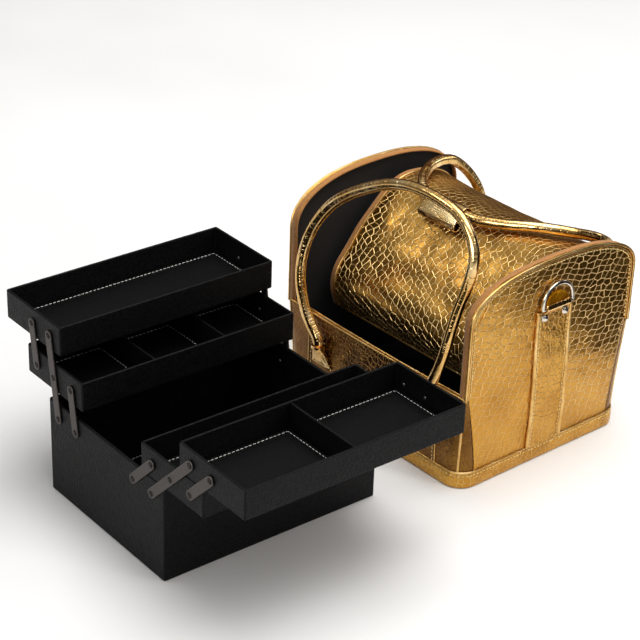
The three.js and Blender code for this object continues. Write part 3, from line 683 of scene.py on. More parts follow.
# How far an end's face stands out of its flat plane: it bellies low down and lies flat by the ring.
def endBelly(side, y, z):
    low = math.sin(math.pi * min(max(z / endLook["bellyTop"], 0), 1)) ** 1.5
    belly = endLook["belly"] * low * max(math.cos(math.pi * y / endLook["bellyWide"]), 0)
    creases = endLook["creases"] * low * noise.noise(Vector((y / 34, z / 26, 3.1)))
    return belly + creases + endLook["lean"][side] * max(z - bag["shoulder"], 0)


def endX(side, y, z, lift=0.0):
    return (1 if side == "right" else -1) * (bag["halfLong"] + endBelly(side, y, z) + lift)


def flatRun(run):
    return [Vector((y, z, 0)) for y, z in run]


def resampleFlat(run, count):
    return [(p.x, p.y) for p in resample(flatRun(run), count)]


# An end is a sheet of even squares stretched between its two upright edges, its base and its arch.
def endPanel(side):
    sign = 1 if side == "right" else -1
    squares = endLook["squares"]
    edges = []
    for hand, tall in [(-1, bag["front"]), (1, bag["back"])]:
        heights = [tall * k / 14 for k in range(15)]
        edges.append([(hand * (bag["halfDeep"] - cornerAt(z, tall)), z) for z in heights])
    arch = archRun(side, 0.0, bag["front"] + 4, bag["back"] + 4)
    cut = len(arch) // 5
    left = resample(flatRun(edges[0] + arch[:cut + 1]), squares + 1)
    right = resample(flatRun(edges[1] + arch[len(arch) - cut - 1:][::-1]), squares + 1)
    top = resample(flatRun(arch[cut:len(arch) - cut]), squares + 1)
    bottom = [left[0].lerp(right[0], k / squares) for k in range(squares + 1)]
    rows, hides = [], []
    for i in range(squares + 1):
        v = i / squares
        row = []
        for j in range(squares + 1):
            u = j / squares
            ruled = left[i].lerp(right[i], u) + bottom[j].lerp(top[j], v)
            corner = bottom[0].lerp(bottom[-1], u).lerp(top[0].lerp(top[-1], u), v)
            p = ruled - corner
            row.append((endX(side, p.x, p.y), p.x, p.y))
        rows.append(row if sign > 0 else row[::-1])
        hides.append([(p[1], p[2]) for p in rows[-1]])
    panel = buildMesh(f"{side}_end_leather", [gridPart(rows, hides)], bagPlace, [panelLeather, lining])
    finishPiece(panel, "bag", [f"{side}_end_panel"],
                [("SOLIDIFY", {"thickness": bag["wall"] / 1000, **thinShell})])


tapeLook = {"width": 5.6, "thick": 1.4, "gap": 0.4, "coil": 1.1, "ripple": 0.22, "rippleTurn": 1318}


def rimLean(side, y, z):
    return endBelly(side, y, z) if z > bag["shoulder"] else 0


# The zip tape stands along the end's rim on the inside, with the coil of the zip on its free edge.
def zipTapeRun(side):
    sign = 1 if side == "right" else -1
    rim = archRun(side, 0.0)
    inner = archRun(side, tapeLook["thick"])
    outerX = bag["halfLong"] - 1.5
    innerX = bag["halfLong"] - bag["wall"] - tapeLook["gap"] - tapeLook["width"]
    rows, hides = [], []
    for (y, z), (ya, za), run in zip(rim, inner, runLengths(flatRun(rim))):
        lean = rimLean(side, y, z)
        wave = 0.35 * noise.noise(Vector((run / 30, 1.7, 0)))
        loop = [(outerX, y, z), ((outerX + innerX) / 2, y * 1.002, z + 0.25 + wave), (innerX, y, z + wave),
                (innerX - 0.4, (y + ya) / 2, (z + za) / 2 + wave), (innerX, ya, za + wave),
                ((outerX + innerX) / 2, ya, za), (outerX, ya, za)]
        rows.append([(sign * (x + lean), py, pz) for x, py, pz in (loop if sign > 0 else loop[::-1])])
        hides.append([(run, 3 * k) for k in range(7)])
    tape = buildMesh(f"{side}_tape", [gridPart(rows, hides, 0, True)], bagPlace, [zipTape])
    finishPiece(tape, "bag", [f"{side}_zip_tape"])
    path = [(sign * (innerX + rimLean(side, y, z)), y, z) for y, z in resampleFlat(inner, 420)]
    coil = buildMesh(f"{side}_zip_coil", [tubePart(path, coilSection, 8)], bagPlace, [zipTape])
    finishPiece(coil, "bag")


# The zip's coil swells and narrows at each of its teeth.
def coilSection(share, angle):
    return tapeLook["coil"] * (1 + tapeLook["ripple"] * math.sin(share * tapeLook["rippleTurn"]))


def sewStitches(name, stitches):
    finishPiece(buildMesh(name, stitches, bagPlace, [highlitGoldThread]), "bag")


def addPiping(name, parts, body="bag"):
    finishPiece(buildMesh(name, parts, bagPlace, [pipingLeather]), body)


endTrim = {"piping": 1.55, "innerPiping": 0.9, "innerIn": 4.0, "lens": 0.95, "stitchIn": 7.2}
fineStitch = {"pitch": 4.8, "length": 3.4, "thick": 1.3}


# Piping round the rim, a row of stitches inside it, and a lens of piping where the zip ends at the front.
def endTrims(side):
    sign = 1 if side == "right" else -1
    rim = resampleFlat(archRun(side, 0.6, bag["front"] - 3, bag["back"] - 3), 150)
    cord = [(endX(side, y, z, 0.5), y, z) for y, z in rim]
    parts = [tubePart(cord, endTrim["piping"], 12)]
    inner = resampleFlat(archRun(side, endTrim["innerIn"]), 150)
    path = [(endX(side, y, z, 0.1), y, z) for y, z in inner]
    parts.append(tubePart(path, endTrim["innerPiping"], 10))
    lens = []
    for k in range(41):
        share = k / 40
        angle = math.pi * (1.0 - 0.2 * share)
        y, z = archAt(side, angle, endTrim["innerIn"] + 9 * math.sin(math.pi * share) ** 0.8)
        z -= 8 * (1 - share)
        lens.append((endX(side, y, z, 0.3), y, z))
    parts.append(tubePart(lens, endTrim["lens"], 10))
    addPiping(f"{side}_end_piping", parts)
    row = resampleFlat(archRun(side, endTrim["stitchIn"], bag["front"] + 2, bag["back"] + 2), 150)
    path = [(endX(side, y, z, 0.35), y, z) for y, z in row]
    sewStitches(f"{side}_end_stitches", stitchParts(path, (sign, 0, 0), fineStitch))


# A long wall with its two corners. Seen from above it runs counter-clockwise, so it faces out.
def wallPlan(height, top, inset=0.0):
    x, y, r = bag["halfLong"], bag["halfDeep"], cornerAt(height, top)
    plan = []
    for k in range(9):
        angle = math.pi * (1 + k / 16)
        plan.append((-x + r + (r - inset) * math.cos(angle), -y + r + (r - inset) * math.sin(angle)))
    for k in range(1, 40):
        plan.append((-x + r + (2 * x - 2 * r) * k / 40, -y + inset))
    for k in range(9):
        angle = math.pi * (1.5 + k / 16)
        plan.append((x - r + (r - inset) * math.cos(angle), -y + r + (r - inset) * math.sin(angle)))
    return plan


wallLook = {"belly": 1.6, "uneven": 1.1, "sag": 2.2, "sagHalf": 140,
            "piping": [(0.1, -0.7, 1.05), (3.1, 0.4, 1.05)]}


def wallBelly(x, z, top):
    calm = math.sin(math.pi * min(max(z / top, 0), 1)) * max(1 - (abs(x) / bag["halfLong"]) ** 4, 0)
    return calm * (wallLook["belly"] + wallLook["uneven"] * noise.noise(Vector((x / 40, z / 30, 7.7))))


# The top edge dips in the middle.
def wallSag(x):
    return wallLook["sag"] * max(1 - (x / wallLook["sagHalf"]) ** 2, 0)


def longWall(name, top, sign):
    rows, hides = [], []
    for i in range(29):
        z = top * i / 28
        plan = wallPlan(z, top)
        row, hide = [], []
        for (x, y), run in zip(plan, runLengths(flatRun(plan))):
            row.append((-sign * x, -sign * (y - wallBelly(x, z, top)), z - wallSag(x) * (z / top) ** 4))
            hide.append((run, z))
        rows.append(row)
        hides.append(hide)
    wall = buildMesh(name + "_leather", [gridPart(rows, hides)], bagPlace, [shadedWallLeather, lining])
    finishPiece(wall, "bag", [name],
                [("SOLIDIFY", {"thickness": bag["wall"] / 1000, **thinShell})])
    # Double piping along the top edge.
    parts = []
    for inset, lift, r in wallLook["piping"]:
        plan = wallPlan(top, top, inset)
        path = [(-sign * x, -sign * y, top + lift - wallSag(x)) for x, y in plan]
        parts.append(tubePart(path, r, 12))
    addPiping(name + "_edge_piping", parts)


# Upright seams: a piped seam on each corner, and the corner gusset's stitched seam beside it.
seamLook = {"around": 52, "gusset": 27, "piping": 1.5, "groove": 0.8, "stitchOff": 4}


def cornerSeams(name, top, sign):
    parts, rows = [], []
    turn = math.radians(seamLook["around"])
    for hand in [-1, 1]:
        seam, groove = [], []
        for k in range(25):
            z = bag["band"] - 4 + (top - bag["band"] + 2) * k / 24
            r = cornerAt(z, top)
            x = bag["halfLong"] - r + (r + 0.2) * math.cos(turn)
            y = -bag["halfDeep"] + r - (r + 0.2) * math.sin(turn)
            seam.append((-sign * hand * x, -sign * y, z))
            gx = bag["halfLong"] - bag["corner"] - seamLook["gusset"] + bag["corner"] * 0.4
            gy = -bag["halfDeep"] - 0.3 - wallBelly(gx, z, top)
            groove.append(Vector((-sign * hand * gx, -sign * gy, z)))
        parts.append(tubePart(seam, seamLook["piping"], 12))
        parts.append(tubePart(groove, seamLook["groove"], 10))
        stitched = [p + Vector((sign * hand * seamLook["stitchOff"], 0, 0)) for p in groove]
        rows += stitchParts(stitched, (0, sign, 0), fineStitch)
    addPiping(name + "_corner_seams", parts)
    sewStitches(name + "_seam_stitches", rows)


# The base band: a turned strip with a rolled top edge and a row of stitches under it.
bandLook = {"stitchDown": 3.6, "roll": 1.3,
            "profile": [(0.1, 0.2), (1.3, 0.1), (2.0, 0.8), (2.3, 3), (2.5, 8), (2.5, 12), (2.2, 14.4),
                        (1.7, 15.4), (2.1, 16.4), (2.3, 17.6), (1.8, 18.8), (0.9, 19.2), (0.1, 18.9)]}
floorLook = {"half": (146, 124),
             "profile": [(0, 0.3, 17), (0, 3.2, 17), (1, 4.1, 16), (3, 4.4, 15), (30, 4.8, 12)]}


def baseLoop(out, z):
    grown = bag["corner"] + out
    return roundedRing(-bag["halfLong"] - out, bag["halfLong"] + out, -bag["halfDeep"] - out,
                       bag["halfDeep"] + out, z, grown, 10)


def evenLoop(ring, count):
    return [tuple(p) for p in resample(ring + ring[:1], count + 1)[:-1]]


def baseBand():
    rows, hides = [], []
    for out, z in bandLook["profile"]:
        ring = evenLoop(baseLoop(out, z), 180)
        wave = [0.25 * noise.noise(Vector((p[0] / 22, p[1] / 22, z / 12))) for p in ring]
        rows.append([(p[0] * (1 + w / 150), p[1] * (1 + w / 150), p[2]) for p, w in zip(ring, wave)])
        hides.append([(run, z + out) for run in runLengths(ring)])
    band = buildMesh("base_band_leather", [gridPart(rows, hides, 0, True)], bagPlace, [bandLeather])
    finishPiece(band, "bag", ["base_band"])
    path = evenLoop(baseLoop(1.75, bag["band"] - bandLook["stitchDown"]), 300)
    stitches = stitchParts(path + path[:1], lambda p: (p.x, p.y, 0), fineStitch)
    sewStitches("base_band_stitches", stitches)
    roll = tubePart(evenLoop(baseLoop(1.0, bag["band"] + 0.3), 200), bandLook["roll"], 10, True)
    addPiping("base_band_roll", [roll])
    # A board covered in lining cloth closes the bottom, a little higher in the middle.
    x, y = floorLook["half"]
    board = stackPart((-x, -y), (x, y), floorLook["profile"])
    pad = buildMesh("bag_floor_lining", [board], bagPlace, [lining])
    finishPiece(pad, "bag", ["bag_floor"])


def makeShell():
    for side in ["left", "right"]:
        endPanel(side)
        zipTapeRun(side)
        endTrims(side)
    longWall("front_wall", bag["front"], -1)
    longWall("back_wall", bag["back"], 1)
    cornerSeams("front_wall", bag["front"], -1)
    cornerSeams("back_wall", bag["back"], 1)
    baseBand()
    print("bag shell made")


makeShell()


# The cover, unzipped and tucked down into the bag: its middle line as (depth, height) from the back.
cover = {"run": [(125, 141.5), (124, 182), (98, 226), (51, 242), (12, 235), (-31, 198), (-54, 171),
                 (-71, 148), (-75, 124), (-68, 100)],
         "halfWide": 136.2, "thick": 2.5, "tape": 5.6, "shift": (-0.25, -1.2), "dent": 1.7, "crumple": 0.7,
         "droop": 2.0, "piping": 1.35, "frontPiping": 1.7, "freeRows": 4,
         "strip": {"half": 128, "tall": 24, "bulge": 0.9}}


def uniformSpline(points, count):
    made = []
    ends = [points[0], *points, points[-1]]
    for a, b, c, d in zip(ends, ends[1:], ends[2:], ends[3:]):
        for step in range(16):
            t = step / 16
            made.append(Vector([0.5 * (2 * q + (r - p) * t + (2 * p - 5 * q + 4 * r - s) * t * t
                                       + (3 * q - p - 3 * r + s) * t ** 3)
                                for p, q, r, s in zip(a, b, c, d)] + [0]))
    made.append(Vector((*points[-1], 0)))
    return resample(made, count)


def coverLine(count):
    dy, dz = cover["shift"]
    return [(p.x + dy, p.y + dz) for p in uniformSpline(cover["run"], count)][::-1]


# A point of the cover: x across, share 0 at the tucked front edge and 1 at the hinge, lift along the normal.
def coverPoint(line, x, i, lift=0.0):
    (ya, za), (yb, zb) = line[max(i - 1, 0)], line[min(i + 1, len(line) - 1)]
    y, z = line[i]
    length = math.hypot(yb - ya, zb - za)
    ny, nz = -(zb - za) / length, (yb - ya) / length
    side = abs(x) / cover["halfWide"]
    share = i / (len(line) - 1)
    free = math.sin(math.pi * share) ** 0.7
    dent = cover["dent"] * free * noise.noise(Vector((x / 60, share * 4.2, 5.5)))
    dent += cover["crumple"] * free * noise.noise(Vector((x / 21, share * 13, 1.5)))
    droop = cover["droop"] * (1 - side ** 2) * math.exp(-((share - 0.72) / 0.16) ** 2)
    push = dent - droop + lift + cover["thick"] / 2
    return x, y + ny * push, z + nz * push


def makeCover():
    line = coverLine(121)
    columns = [cover["halfWide"] * (k / 50 - 1) for k in range(101)]
    lengths = runLengths(flatRun(line))
    rows = [[coverPoint(line, x, i) for x in columns] for i in range(len(line))]
    hides = [[(x, run) for x in columns] for run in lengths]
    skin = buildMesh("cover_leather", [gridPart(rows, hides)], bagPlace, [coverLeather, lining])
    finishPiece(skin, "cover", ["cover"],
                [("SOLIDIFY", {"thickness": cover["thick"] / 1000, **thinShell})])
    # Each side edge carries half the zip: a tan tape folded over it, and piping along the tape. Both stop
    # short of the hinge, to clear the back wall's piping when the cover opens.
    edge, width, free = cover["halfWide"], cover["tape"], cover["freeRows"]
    loop = [(edge - width, 0.35), (edge - width / 2, 0.8), (edge + 0.3, 0.7), (edge + 1.1, -0.6),
            (edge + 0.5, -2.8), (edge - width / 2, -3.2)]
    tapes, cords = [], []
    for hand in [-1, 1]:
        rows, hides = [], []
        for i, run in enumerate(lengths[:-free]):
            ring = [coverPoint(line, hand * x, i, lift) for x, lift in loop]
            rows.append(ring if hand > 0 else ring[::-1])
            hides.append([(run, 2 * k) for k in range(len(loop))])
        tapes.append(gridPart(rows, hides))
        path = [coverPoint(line, hand * (edge - width - 0.8), i, 0.5) for i in range(len(line) - free)]
        cords.append(tubePart(path, cover["piping"], 12))
    front = [coverPoint(line, x, 0, -1.0) for x in columns]
    cords.append(tubePart(front, cover["frontPiping"], 12))
    tape = buildMesh("cover_zip_tapes", tapes, bagPlace, [zipTape])
    finishPiece(tape, "cover", (), [("SOLIDIFY", {"thickness": 0.0005, "offset": 0})])
    addPiping("cover_piping", cords, "cover")
    # A strip of leather bends across the hinge line at the top of the back wall.
    look = cover["strip"]
    rows = []
    for k in range(9):
        z = bag["back"] + look["tall"] * (k / 8 - 0.5)
        y = bag["halfDeep"] - 0.6 + look["bulge"] * math.sin(math.pi * k / 8)
        rows.append([(look["half"] * (1 - j / 16), y, z) for j in range(33)])
    strip = buildMesh("cover_hinge_strip", [gridPart(rows, seenAlong(rows, 0, 2))], bagPlace, [coverLeather])
    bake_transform(strip)
    print("cover made")


makeCover()


# Handles: a cord rolled in leather. The routes repeat the CAD's, across and up from the left foot.
handle = {"spread": 172.0, "foot": 84.0, "radius": 6.5, "ridge": 1.1, "lumps": 0.22, "standoff": 137.5,
          "seamTowards": (100, 195), "lean": 0.2, "leanStart": 54.0,
          "front": [(-22, 32), (-39, 70), (-43, 105), (-34, 139), (-10, 174), (30, 204), (84, 229),
                    (140, 235), (189, 225), (214, 198), (216, 170), (208, 125), (201, 65), (186, 28)],
          "rear": [(-12, 1, 66), (-22, 0, 113), (-31, -14, 142), (-36, -40, 164), (-30, -80, 169),
                   (-6, -116, 165.5), (20, -129, 161.5), (36, -130.5, 161), (92, -130.5, 161),
                   (106, -128, 161.5), (134, -116, 164), (167, -95, 167), (196, -69, 164), (208, -39, 153),
                   (202, -9, 128), (186, 1, 76)]}


def handleRoute(sign, run):
    half, foot = handle["spread"] / 2, handle["foot"]
    full = [(0, 0, 0), (-1, 0, 8), *run, (handle["spread"] + 1, 0, 8), (handle["spread"], 0, 0)]
    return catmullRom([(x - half, y + sign * handle["standoff"], z + foot) for x, y, z in full], 260)


# The leather's seam runs along the inside of the loop as a low ridge, and the tube is never quite round.
def handleSection(share, angle):
    ridge = handle["ridge"] * math.exp(-(min(angle, 2 * math.pi - angle) / 0.2) ** 2)
    lumps = handle["lumps"] * noise.noise(Vector((share * 60, math.cos(angle), math.sin(angle))))
    return handle["radius"] - 0.25 + ridge + lumps


# A foot: the tube's end opens out, is pinched in the middle and sewn down flat in a wide triangle.
foot = {"top": 86.0, "full": 82.0, "bottom": 56.6, "topHalf": 7.9, "baseHalf": 17.4, "sewnAt": 131.4,
        "sewnDeep": 1.8, "pinch": 2.2, "folds": 0.75, "rings": 22, "sides": 32, "threadAt": 133.6,
        "thread": [(-1, 0.62, 15), (-1, 0.95, 3), (-1, 0.8, 0), (1, 0.8, 0), (1, 0.95, 3), (1, 0.62, 15)]}


def flaredFoot(x, sign):
    rings, sides = foot["rings"], foot["sides"]
    rows, hides = [], []
    for i in range(rings + 1):
        z = foot["top"] + (foot["bottom"] - foot["top"]) * i / rings
        share = min(max((foot["full"] - z) / (foot["full"] - foot["bottom"]), 0), 1)
        spread = share ** 1.3
        half = foot["topHalf"] + (foot["baseHalf"] - foot["topHalf"]) * spread
        flat = min(share * 1.06, 1) ** 0.9
        deep = foot["topHalf"] + (foot["sewnDeep"] - foot["topHalf"]) * flat
        middle = handle["standoff"] - 0.1 - (handle["standoff"] - foot["sewnAt"]) * flat
        row = []
        for k in range(sides):
            angle = 2 * math.pi * k / sides
            c, s = signedPower(math.cos(angle), 0.85), signedPower(math.sin(angle), 0.85)
            pinch = foot["pinch"] * math.sin(math.pi * share) * math.exp(-(math.cos(angle) / 0.28) ** 2)
            folds = foot["folds"] * math.sin(math.pi * share) * math.sin(angle * 7 + 2 * share)
            out = max(deep * s + folds - (pinch if s > 0 else 0), -deep)
            row.append((x + half * c, sign * (middle + out), z))
        rows.append(row if sign < 0 else row[::-1])
        hides.append([(z, 2 * k) for k in range(sides)])
    part = gridPart(rows, hides, 0, True)
    part[1].append(list(range(sides)))
    part[1].append([rings * sides + k for k in range(sides)][::-1])
    path = [(x + hand * (foot["baseHalf"] - 3.2) * t, sign * foot["threadAt"], foot["bottom"] + 2.6 + up)
            for hand, t, up in foot["thread"]]
    return part, stitchParts(path, (0, sign, 0), {**fineStitch, "pitch": 3.6, "length": 2.6})


def makeHandle(name, sign, run):
    out, up = handle["seamTowards"]
    cord = tubePart(handleRoute(sign, run), handleSection, 28, False, (0, sign * out, up))
    tube = buildMesh(name + "_tube", [cord], bagPlace, [tubeLeather])
    finishPiece(tube, name, [name])
    for side, hand in [("left", -1), ("right", 1)]:
        part, stitches = flaredFoot(hand * handle["spread"] / 2, sign)
        tab = buildMesh(f"{name}_foot_{side}", [part], bagPlace, [tubeLeather])
        finishPiece(tab, "bag", [f"{name}_tab_{side}"])
        sewStitches(f"{name}_foot_{side}_stitches", stitches)


# The wrap: a leather sheet snapped round the rear handle, whose flap lies down the cover and curls up.
wrap = {"centre": (7.0, 245.0), "from": -62.0, "to": -1.0, "sleeve": 8.2, "thick": 1.4, "slope": 0.86,
        "reach": 18.0, "curl": 5.8, "tighten": 0.9, "crumple": 0.35}


def makeWrap():
    along = (-math.cos(wrap["slope"]), -math.sin(wrap["slope"]))
    outward = (-math.sin(wrap["slope"]), math.cos(wrap["slope"]))
    cy, cz = wrap["centre"]
    top = math.pi / 2 + wrap["slope"]
    run = []
    for k in range(37):
        angle = top - 1.2 * math.pi + 1.2 * math.pi * k / 36
        run.append((cy + wrap["sleeve"] * math.cos(angle), cz + wrap["sleeve"] * math.sin(angle), 0))
    curlY = cy + wrap["reach"] * along[0] + (wrap["sleeve"] - wrap["curl"]) * outward[0]
    curlZ = cz + wrap["reach"] * along[1] + (wrap["sleeve"] - wrap["curl"]) * outward[1]
    for k in range(37):
        angle = top + 1.7 * math.pi * k / 36
        r = wrap["curl"] - wrap["tighten"] * k / 36
        run.append((curlY + r * math.cos(angle), curlZ + r * math.sin(angle), 0))
    run = resample(run, 90)
    rows, hides = [], []
    for i in range(37):
        share = i / 36
        x = wrap["from"] + (wrap["to"] - wrap["from"]) * share
        row = []
        for k, p in enumerate(run):
            crumple = wrap["crumple"] * noise.noise(Vector((x / 9, k / 11, 9.2)))
            pull = 1 + 0.03 * math.sin(math.pi * share)
            row.append((x, cy + (p.x - cy) * pull + crumple, cz + (p.y - cz) * pull + crumple))
        rows.append(row)
        hides.append([(k * 1.1, x) for k in range(len(run))])
    sheet = buildMesh("handle_wrap_sheet", [gridPart(rows, hides)], bagPlace, [tubeLeather])
    finishPiece(sheet, "rear_handle", ["handle_wrap"],
                [("SOLIDIFY", {"thickness": wrap["thick"] / 1000, "offset": 0}), softer])


def makeHandles():
    front = [(x, handle["lean"] * max(0, z - handle["leanStart"]), z) for x, z in handle["front"]]
    makeHandle("front_handle", -1, front)
    makeHandle("rear_handle", 1, handle["rear"])
    makeWrap()
    print("handles made")


makeHandles()


# Ring straps: a bound strap up each end, folded over the ring's bar and riveted.
strap = {"half": 28.0, "top": 192.0, "binding": 2.6, "topBinding": 1.6, "swell": 0.5, "calmAbove": 178,
         "stitchIn": 6.4, "boundAt": 25.6, "sewnAt": 25, "loopHalf": 19.0, "barOut": 155.7,
         "barUp": 197.8, "loop": 3.5, "loopStart": 153.3,
         "loopEnd": [(157.0, 194.0), (154.9, 191.4), (154.7, 190.2)],
         "tailTop": 213.0, "tailHalf": 17.0, "tailOut": 151.7, "tailBow": 3.6, "tailCrumple": 0.5,
         "rivetUp": 185.0, "rivetApart": 16.0, "rivetOut": 153.4,
         "dome": [(2, -1), (4.9, -0.4), (5.0, 0.3), (4.7, 0.8), (4.3, 0.95), (3.9, 1.9), (2.9, 2.7),
                  (1.5, 3.15), (0.1, 3.25)]}


def strapBinding(share, angle):
    return strap["binding"] * (1 - 0.18 * math.sin(angle) ** 2)


def strapPanel(side, low, high):
    sign = 1 if side == "right" else -1
    rows, hides = [], []
    across = [-strap["half"] + 2 * strap["half"] * k / 28 for k in range(29)]
    for i in range(45):
        z = low + (high - low) * i / 44
        row = []
        for y in across:
            calm = min(max((strap["calmAbove"] - z) / 30, 0), 1)
            swell = strap["swell"] * calm * noise.noise(Vector((y / 16, z / 14, 2.2)))
            row.append((endX(side, y, z, 1.6 + swell), y, z))
        rows.append(row if sign > 0 else row[::-1])
        hides.append([(p[1] + 40, p[2]) for p in rows[-1]])
    parts = [gridPart(rows, hides)]
    for hand in [-1, 1]:
        heights = [low + (high + 1 - low) * k / 60 for k in range(61)]
        y = hand * (strap["half"] - strap["binding"])
        path = [(endX(side, hand * strap["boundAt"], z, 1.5), y, z) for z in heights]
        parts.append(tubePart(path, strapBinding, 14, number=1))
    top = [(endX(side, y, high, 1.5), y, high) for y in across]
    parts.append(tubePart(top, strap["topBinding"], 12, number=1))
    panel = buildMesh(f"{side}_strap_panel", parts, bagPlace, [bandLeather, pipingLeather])
    finishPiece(panel, "bag", [f"{side}_ring_strap"])


# The strap folds round the ring's bar, and its tail stands up behind the ring with rounded corners.
def strapLoop(side, high):
    sign = 1 if side == "right" else -1
    loop = []
    for k in range(25):
        angle = math.pi * 1.35 - math.pi * 1.62 * k / 24
        loop.append((strap["barOut"] + strap["loop"] * math.cos(angle),
                     strap["barUp"] + strap["loop"] * math.sin(angle)))
    section = [(strap["loopStart"], high - 1), *loop, *strap["loopEnd"]]
    across = [strap["loopHalf"] * (k / 10 - 1) for k in range(21)]
    sling = [[(sign * x, sign * y, z) for y in across] for x, z in section]
    tail = []
    for k in range(17):
        up = math.sin(math.pi / 2 * k / 16)
        z = strap["barUp"] + 2 + (strap["tailTop"] - strap["barUp"] - 2) * up
        half = strap["tailHalf"] * math.sqrt(1 - max((up - 0.3) / 0.75, 0) ** 2)
        row = []
        for j in range(17):
            y = half * (j / 8 - 1)
            crumple = strap["tailCrumple"] * noise.noise(Vector((y / 4, z / 3, 6.1)))
            out = strap["tailOut"] + strap["tailBow"] * math.sqrt(1.001 - up * up) + crumple
            row.append((sign * out, sign * y, z))
        tail.append(row)
    parts = []
    # The tail behind the ring takes the amber painted reflection.
    for number, rows in enumerate([sling, tail]):
        parts.append(gridPart(rows, [[(p[1] + 40, 2 * p[2]) for p in row] for row in rows], number))
    keeper = buildMesh(f"{side}_ring_loop", parts, bagPlace, [tubeLeather, amberReflectionLeather])
    finishPiece(keeper, "bag", (),
                [("SOLIDIFY", {"thickness": 0.0016, "offset": 0}), softer])


def ringStrap(side):
    sign = 1 if side == "right" else -1
    low, high = bag["band"] - 1, strap["top"]
    strapPanel(side, low, high)
    strapLoop(side, high)
    parts = []
    for hand in [-1, 1]:
        heights = [low + (high - low - 2) * k / 40 for k in range(41)]
        y = hand * (strap["half"] - strap["stitchIn"])
        path = [(endX(side, hand * strap["sewnAt"], z, 1.9), y, z) for z in heights]
        parts += stitchParts(path, (sign, 0, 0), fineStitch)
    sewStitches(f"{side}_strap_stitches", parts)
    for which, y in [("front", -1), ("back", 1)]:
        place = Matrix.Translation((sign * strap["rivetOut"], y * strap["rivetApart"], strap["rivetUp"]))
        place = place @ Matrix.Rotation(sign * math.pi / 2, 4, "Y")
        rivet = buildMesh(f"{side}_rivet_{which}", [turnedPart(place, strap["dome"], 28)], bagPlace, [nickel])
        finishPiece(rivet, "bag", [f"{side}_strap_rivet_{which}"])


# The D-ring: round wire, bent with tight shoulders into a straight bar.
ring = {"wire": 2.5, "half": 23.0, "rise": 27.0}


def dRing(side):
    sign = 1 if side == "right" else -1
    bend = [(ring["half"] * math.cos(math.pi * k / 40), ring["rise"] * math.sin(math.pi * k / 40) ** 0.8)
            for k in range(41)]
    bar = [(-ring["half"] + 2 * ring["half"] * k / 20, 0.0) for k in range(1, 20)]
    loop = resample(flatRun(bend + bar + bend[:1]), 141)[:-1]
    path = [(sign * strap["barOut"], sign * p.x, strap["barUp"] + p.y) for p in loop]
    wire = buildMesh(f"{side}_ring_wire", [tubePart(path, ring["wire"], 16, True)], bagPlace, [nickel])
    finishPiece(wire, f"{side}_d_ring", [f"{side}_d_ring"])


# Zip slider and its long pull: die-cast and plated, the pull a slotted plate with round ends.
zipLook = {"plates": [(-1.7, 3.4, 5.9), (1.5, 3.1, 5.4)], "post": [(1.6, -1.8), (1.6, 1.8)],
           "edge": [(0.5, -0.9, 0.9), (0, -0.5, 1.3), (0, 0.5, 1.3), (0.5, 0.9, 0.9)],
           "hingeOut": 3.4, "hingeDown": 4.2, "hook": 2.5, "wire": 0.6,
           "pullHalf": 3.0, "slotHalf": 1.4, "slotFrom": 6.5, "slotTo": 1.8, "pullDeep": 0.55}


def bagMiddle(low, high):
    return bagPlace.inverted() @ ((low + high) / 2)


def zipPull(side):
    x, y, z = bagMiddle(*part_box(f"{side}_zip_slider"))
    parts = []
    for depth, half, tall in zipLook["plates"]:
        points, faces, hides, number = stackPart((-half, -tall), (half, tall), zipLook["edge"])
        parts.append(([(x + p[0], y + depth + p[2], z + p[1]) for p in points],
                      [face[::-1] for face in faces], hides, number))
    post = Matrix.Translation((x, y, z)) @ Matrix.Rotation(-math.pi / 2, 4, "X")
    parts.append(turnedPart(post, zipLook["post"], 16))
    # A hook bends round the pull's bar and in through its slot, so that the pull turns freely.
    hinge = (y + zipLook["hingeOut"], z - zipLook["hingeDown"])
    hook = [(x, hinge[0] - 2.0, hinge[1] + 6.2), (x, hinge[0] - 0.8, hinge[1] + 4.6)]
    for k in range(20):
        angle = math.radians(85 - 195 * k / 19)
        hook.append((x, hinge[0] + zipLook["hook"] * math.cos(angle),
                     hinge[1] + zipLook["hook"] * math.sin(angle)))
    parts.append(tubePart(hook, zipLook["wire"], 12))
    slider = buildMesh(f"{side}_slider_body", parts, bagPlace, [nickel])
    finishPiece(slider, f"{side}_zip_slider", [f"{side}_zip_slider"], [flatFaces])
    low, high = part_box(f"{side}_zip_pull")
    x, y, z = bagMiddle(low, high)
    tall = (high.z - low.z) / 2 * 1000
    half, slot, deep = zipLook["pullHalf"], zipLook["slotHalf"], zipLook["pullDeep"]
    outer = roundedRing(-half, half, -tall, tall, 0, 2.4, 6)
    inner = roundedRing(-slot, slot, tall - zipLook["slotFrom"], tall - zipLook["slotTo"], 0, 1.2, 6)
    rows = []
    for outline, depth in [(inner, deep), (inner, -deep), (outer, -deep), (outer, deep)]:
        rows.append([(x + p[0], y + depth, z + p[1]) for p in outline])
    plate = gridPart(rows, seenAlong(rows, 0, 2), 0, True, True)
    pull = buildMesh(f"{side}_pull_plate", [plate], bagPlace, [nickel])
    finishPiece(pull, f"{side}_zip_pull", [f"{side}_zip_pull"],
                [("BEVEL", {"width": 0.0003, "segments": 2, "limit_method": "ANGLE"}), flatFaces])


for side in ["left", "right"]:
    ringStrap(side)
    dRing(side)
    zipPull(side)
print("fittings made")


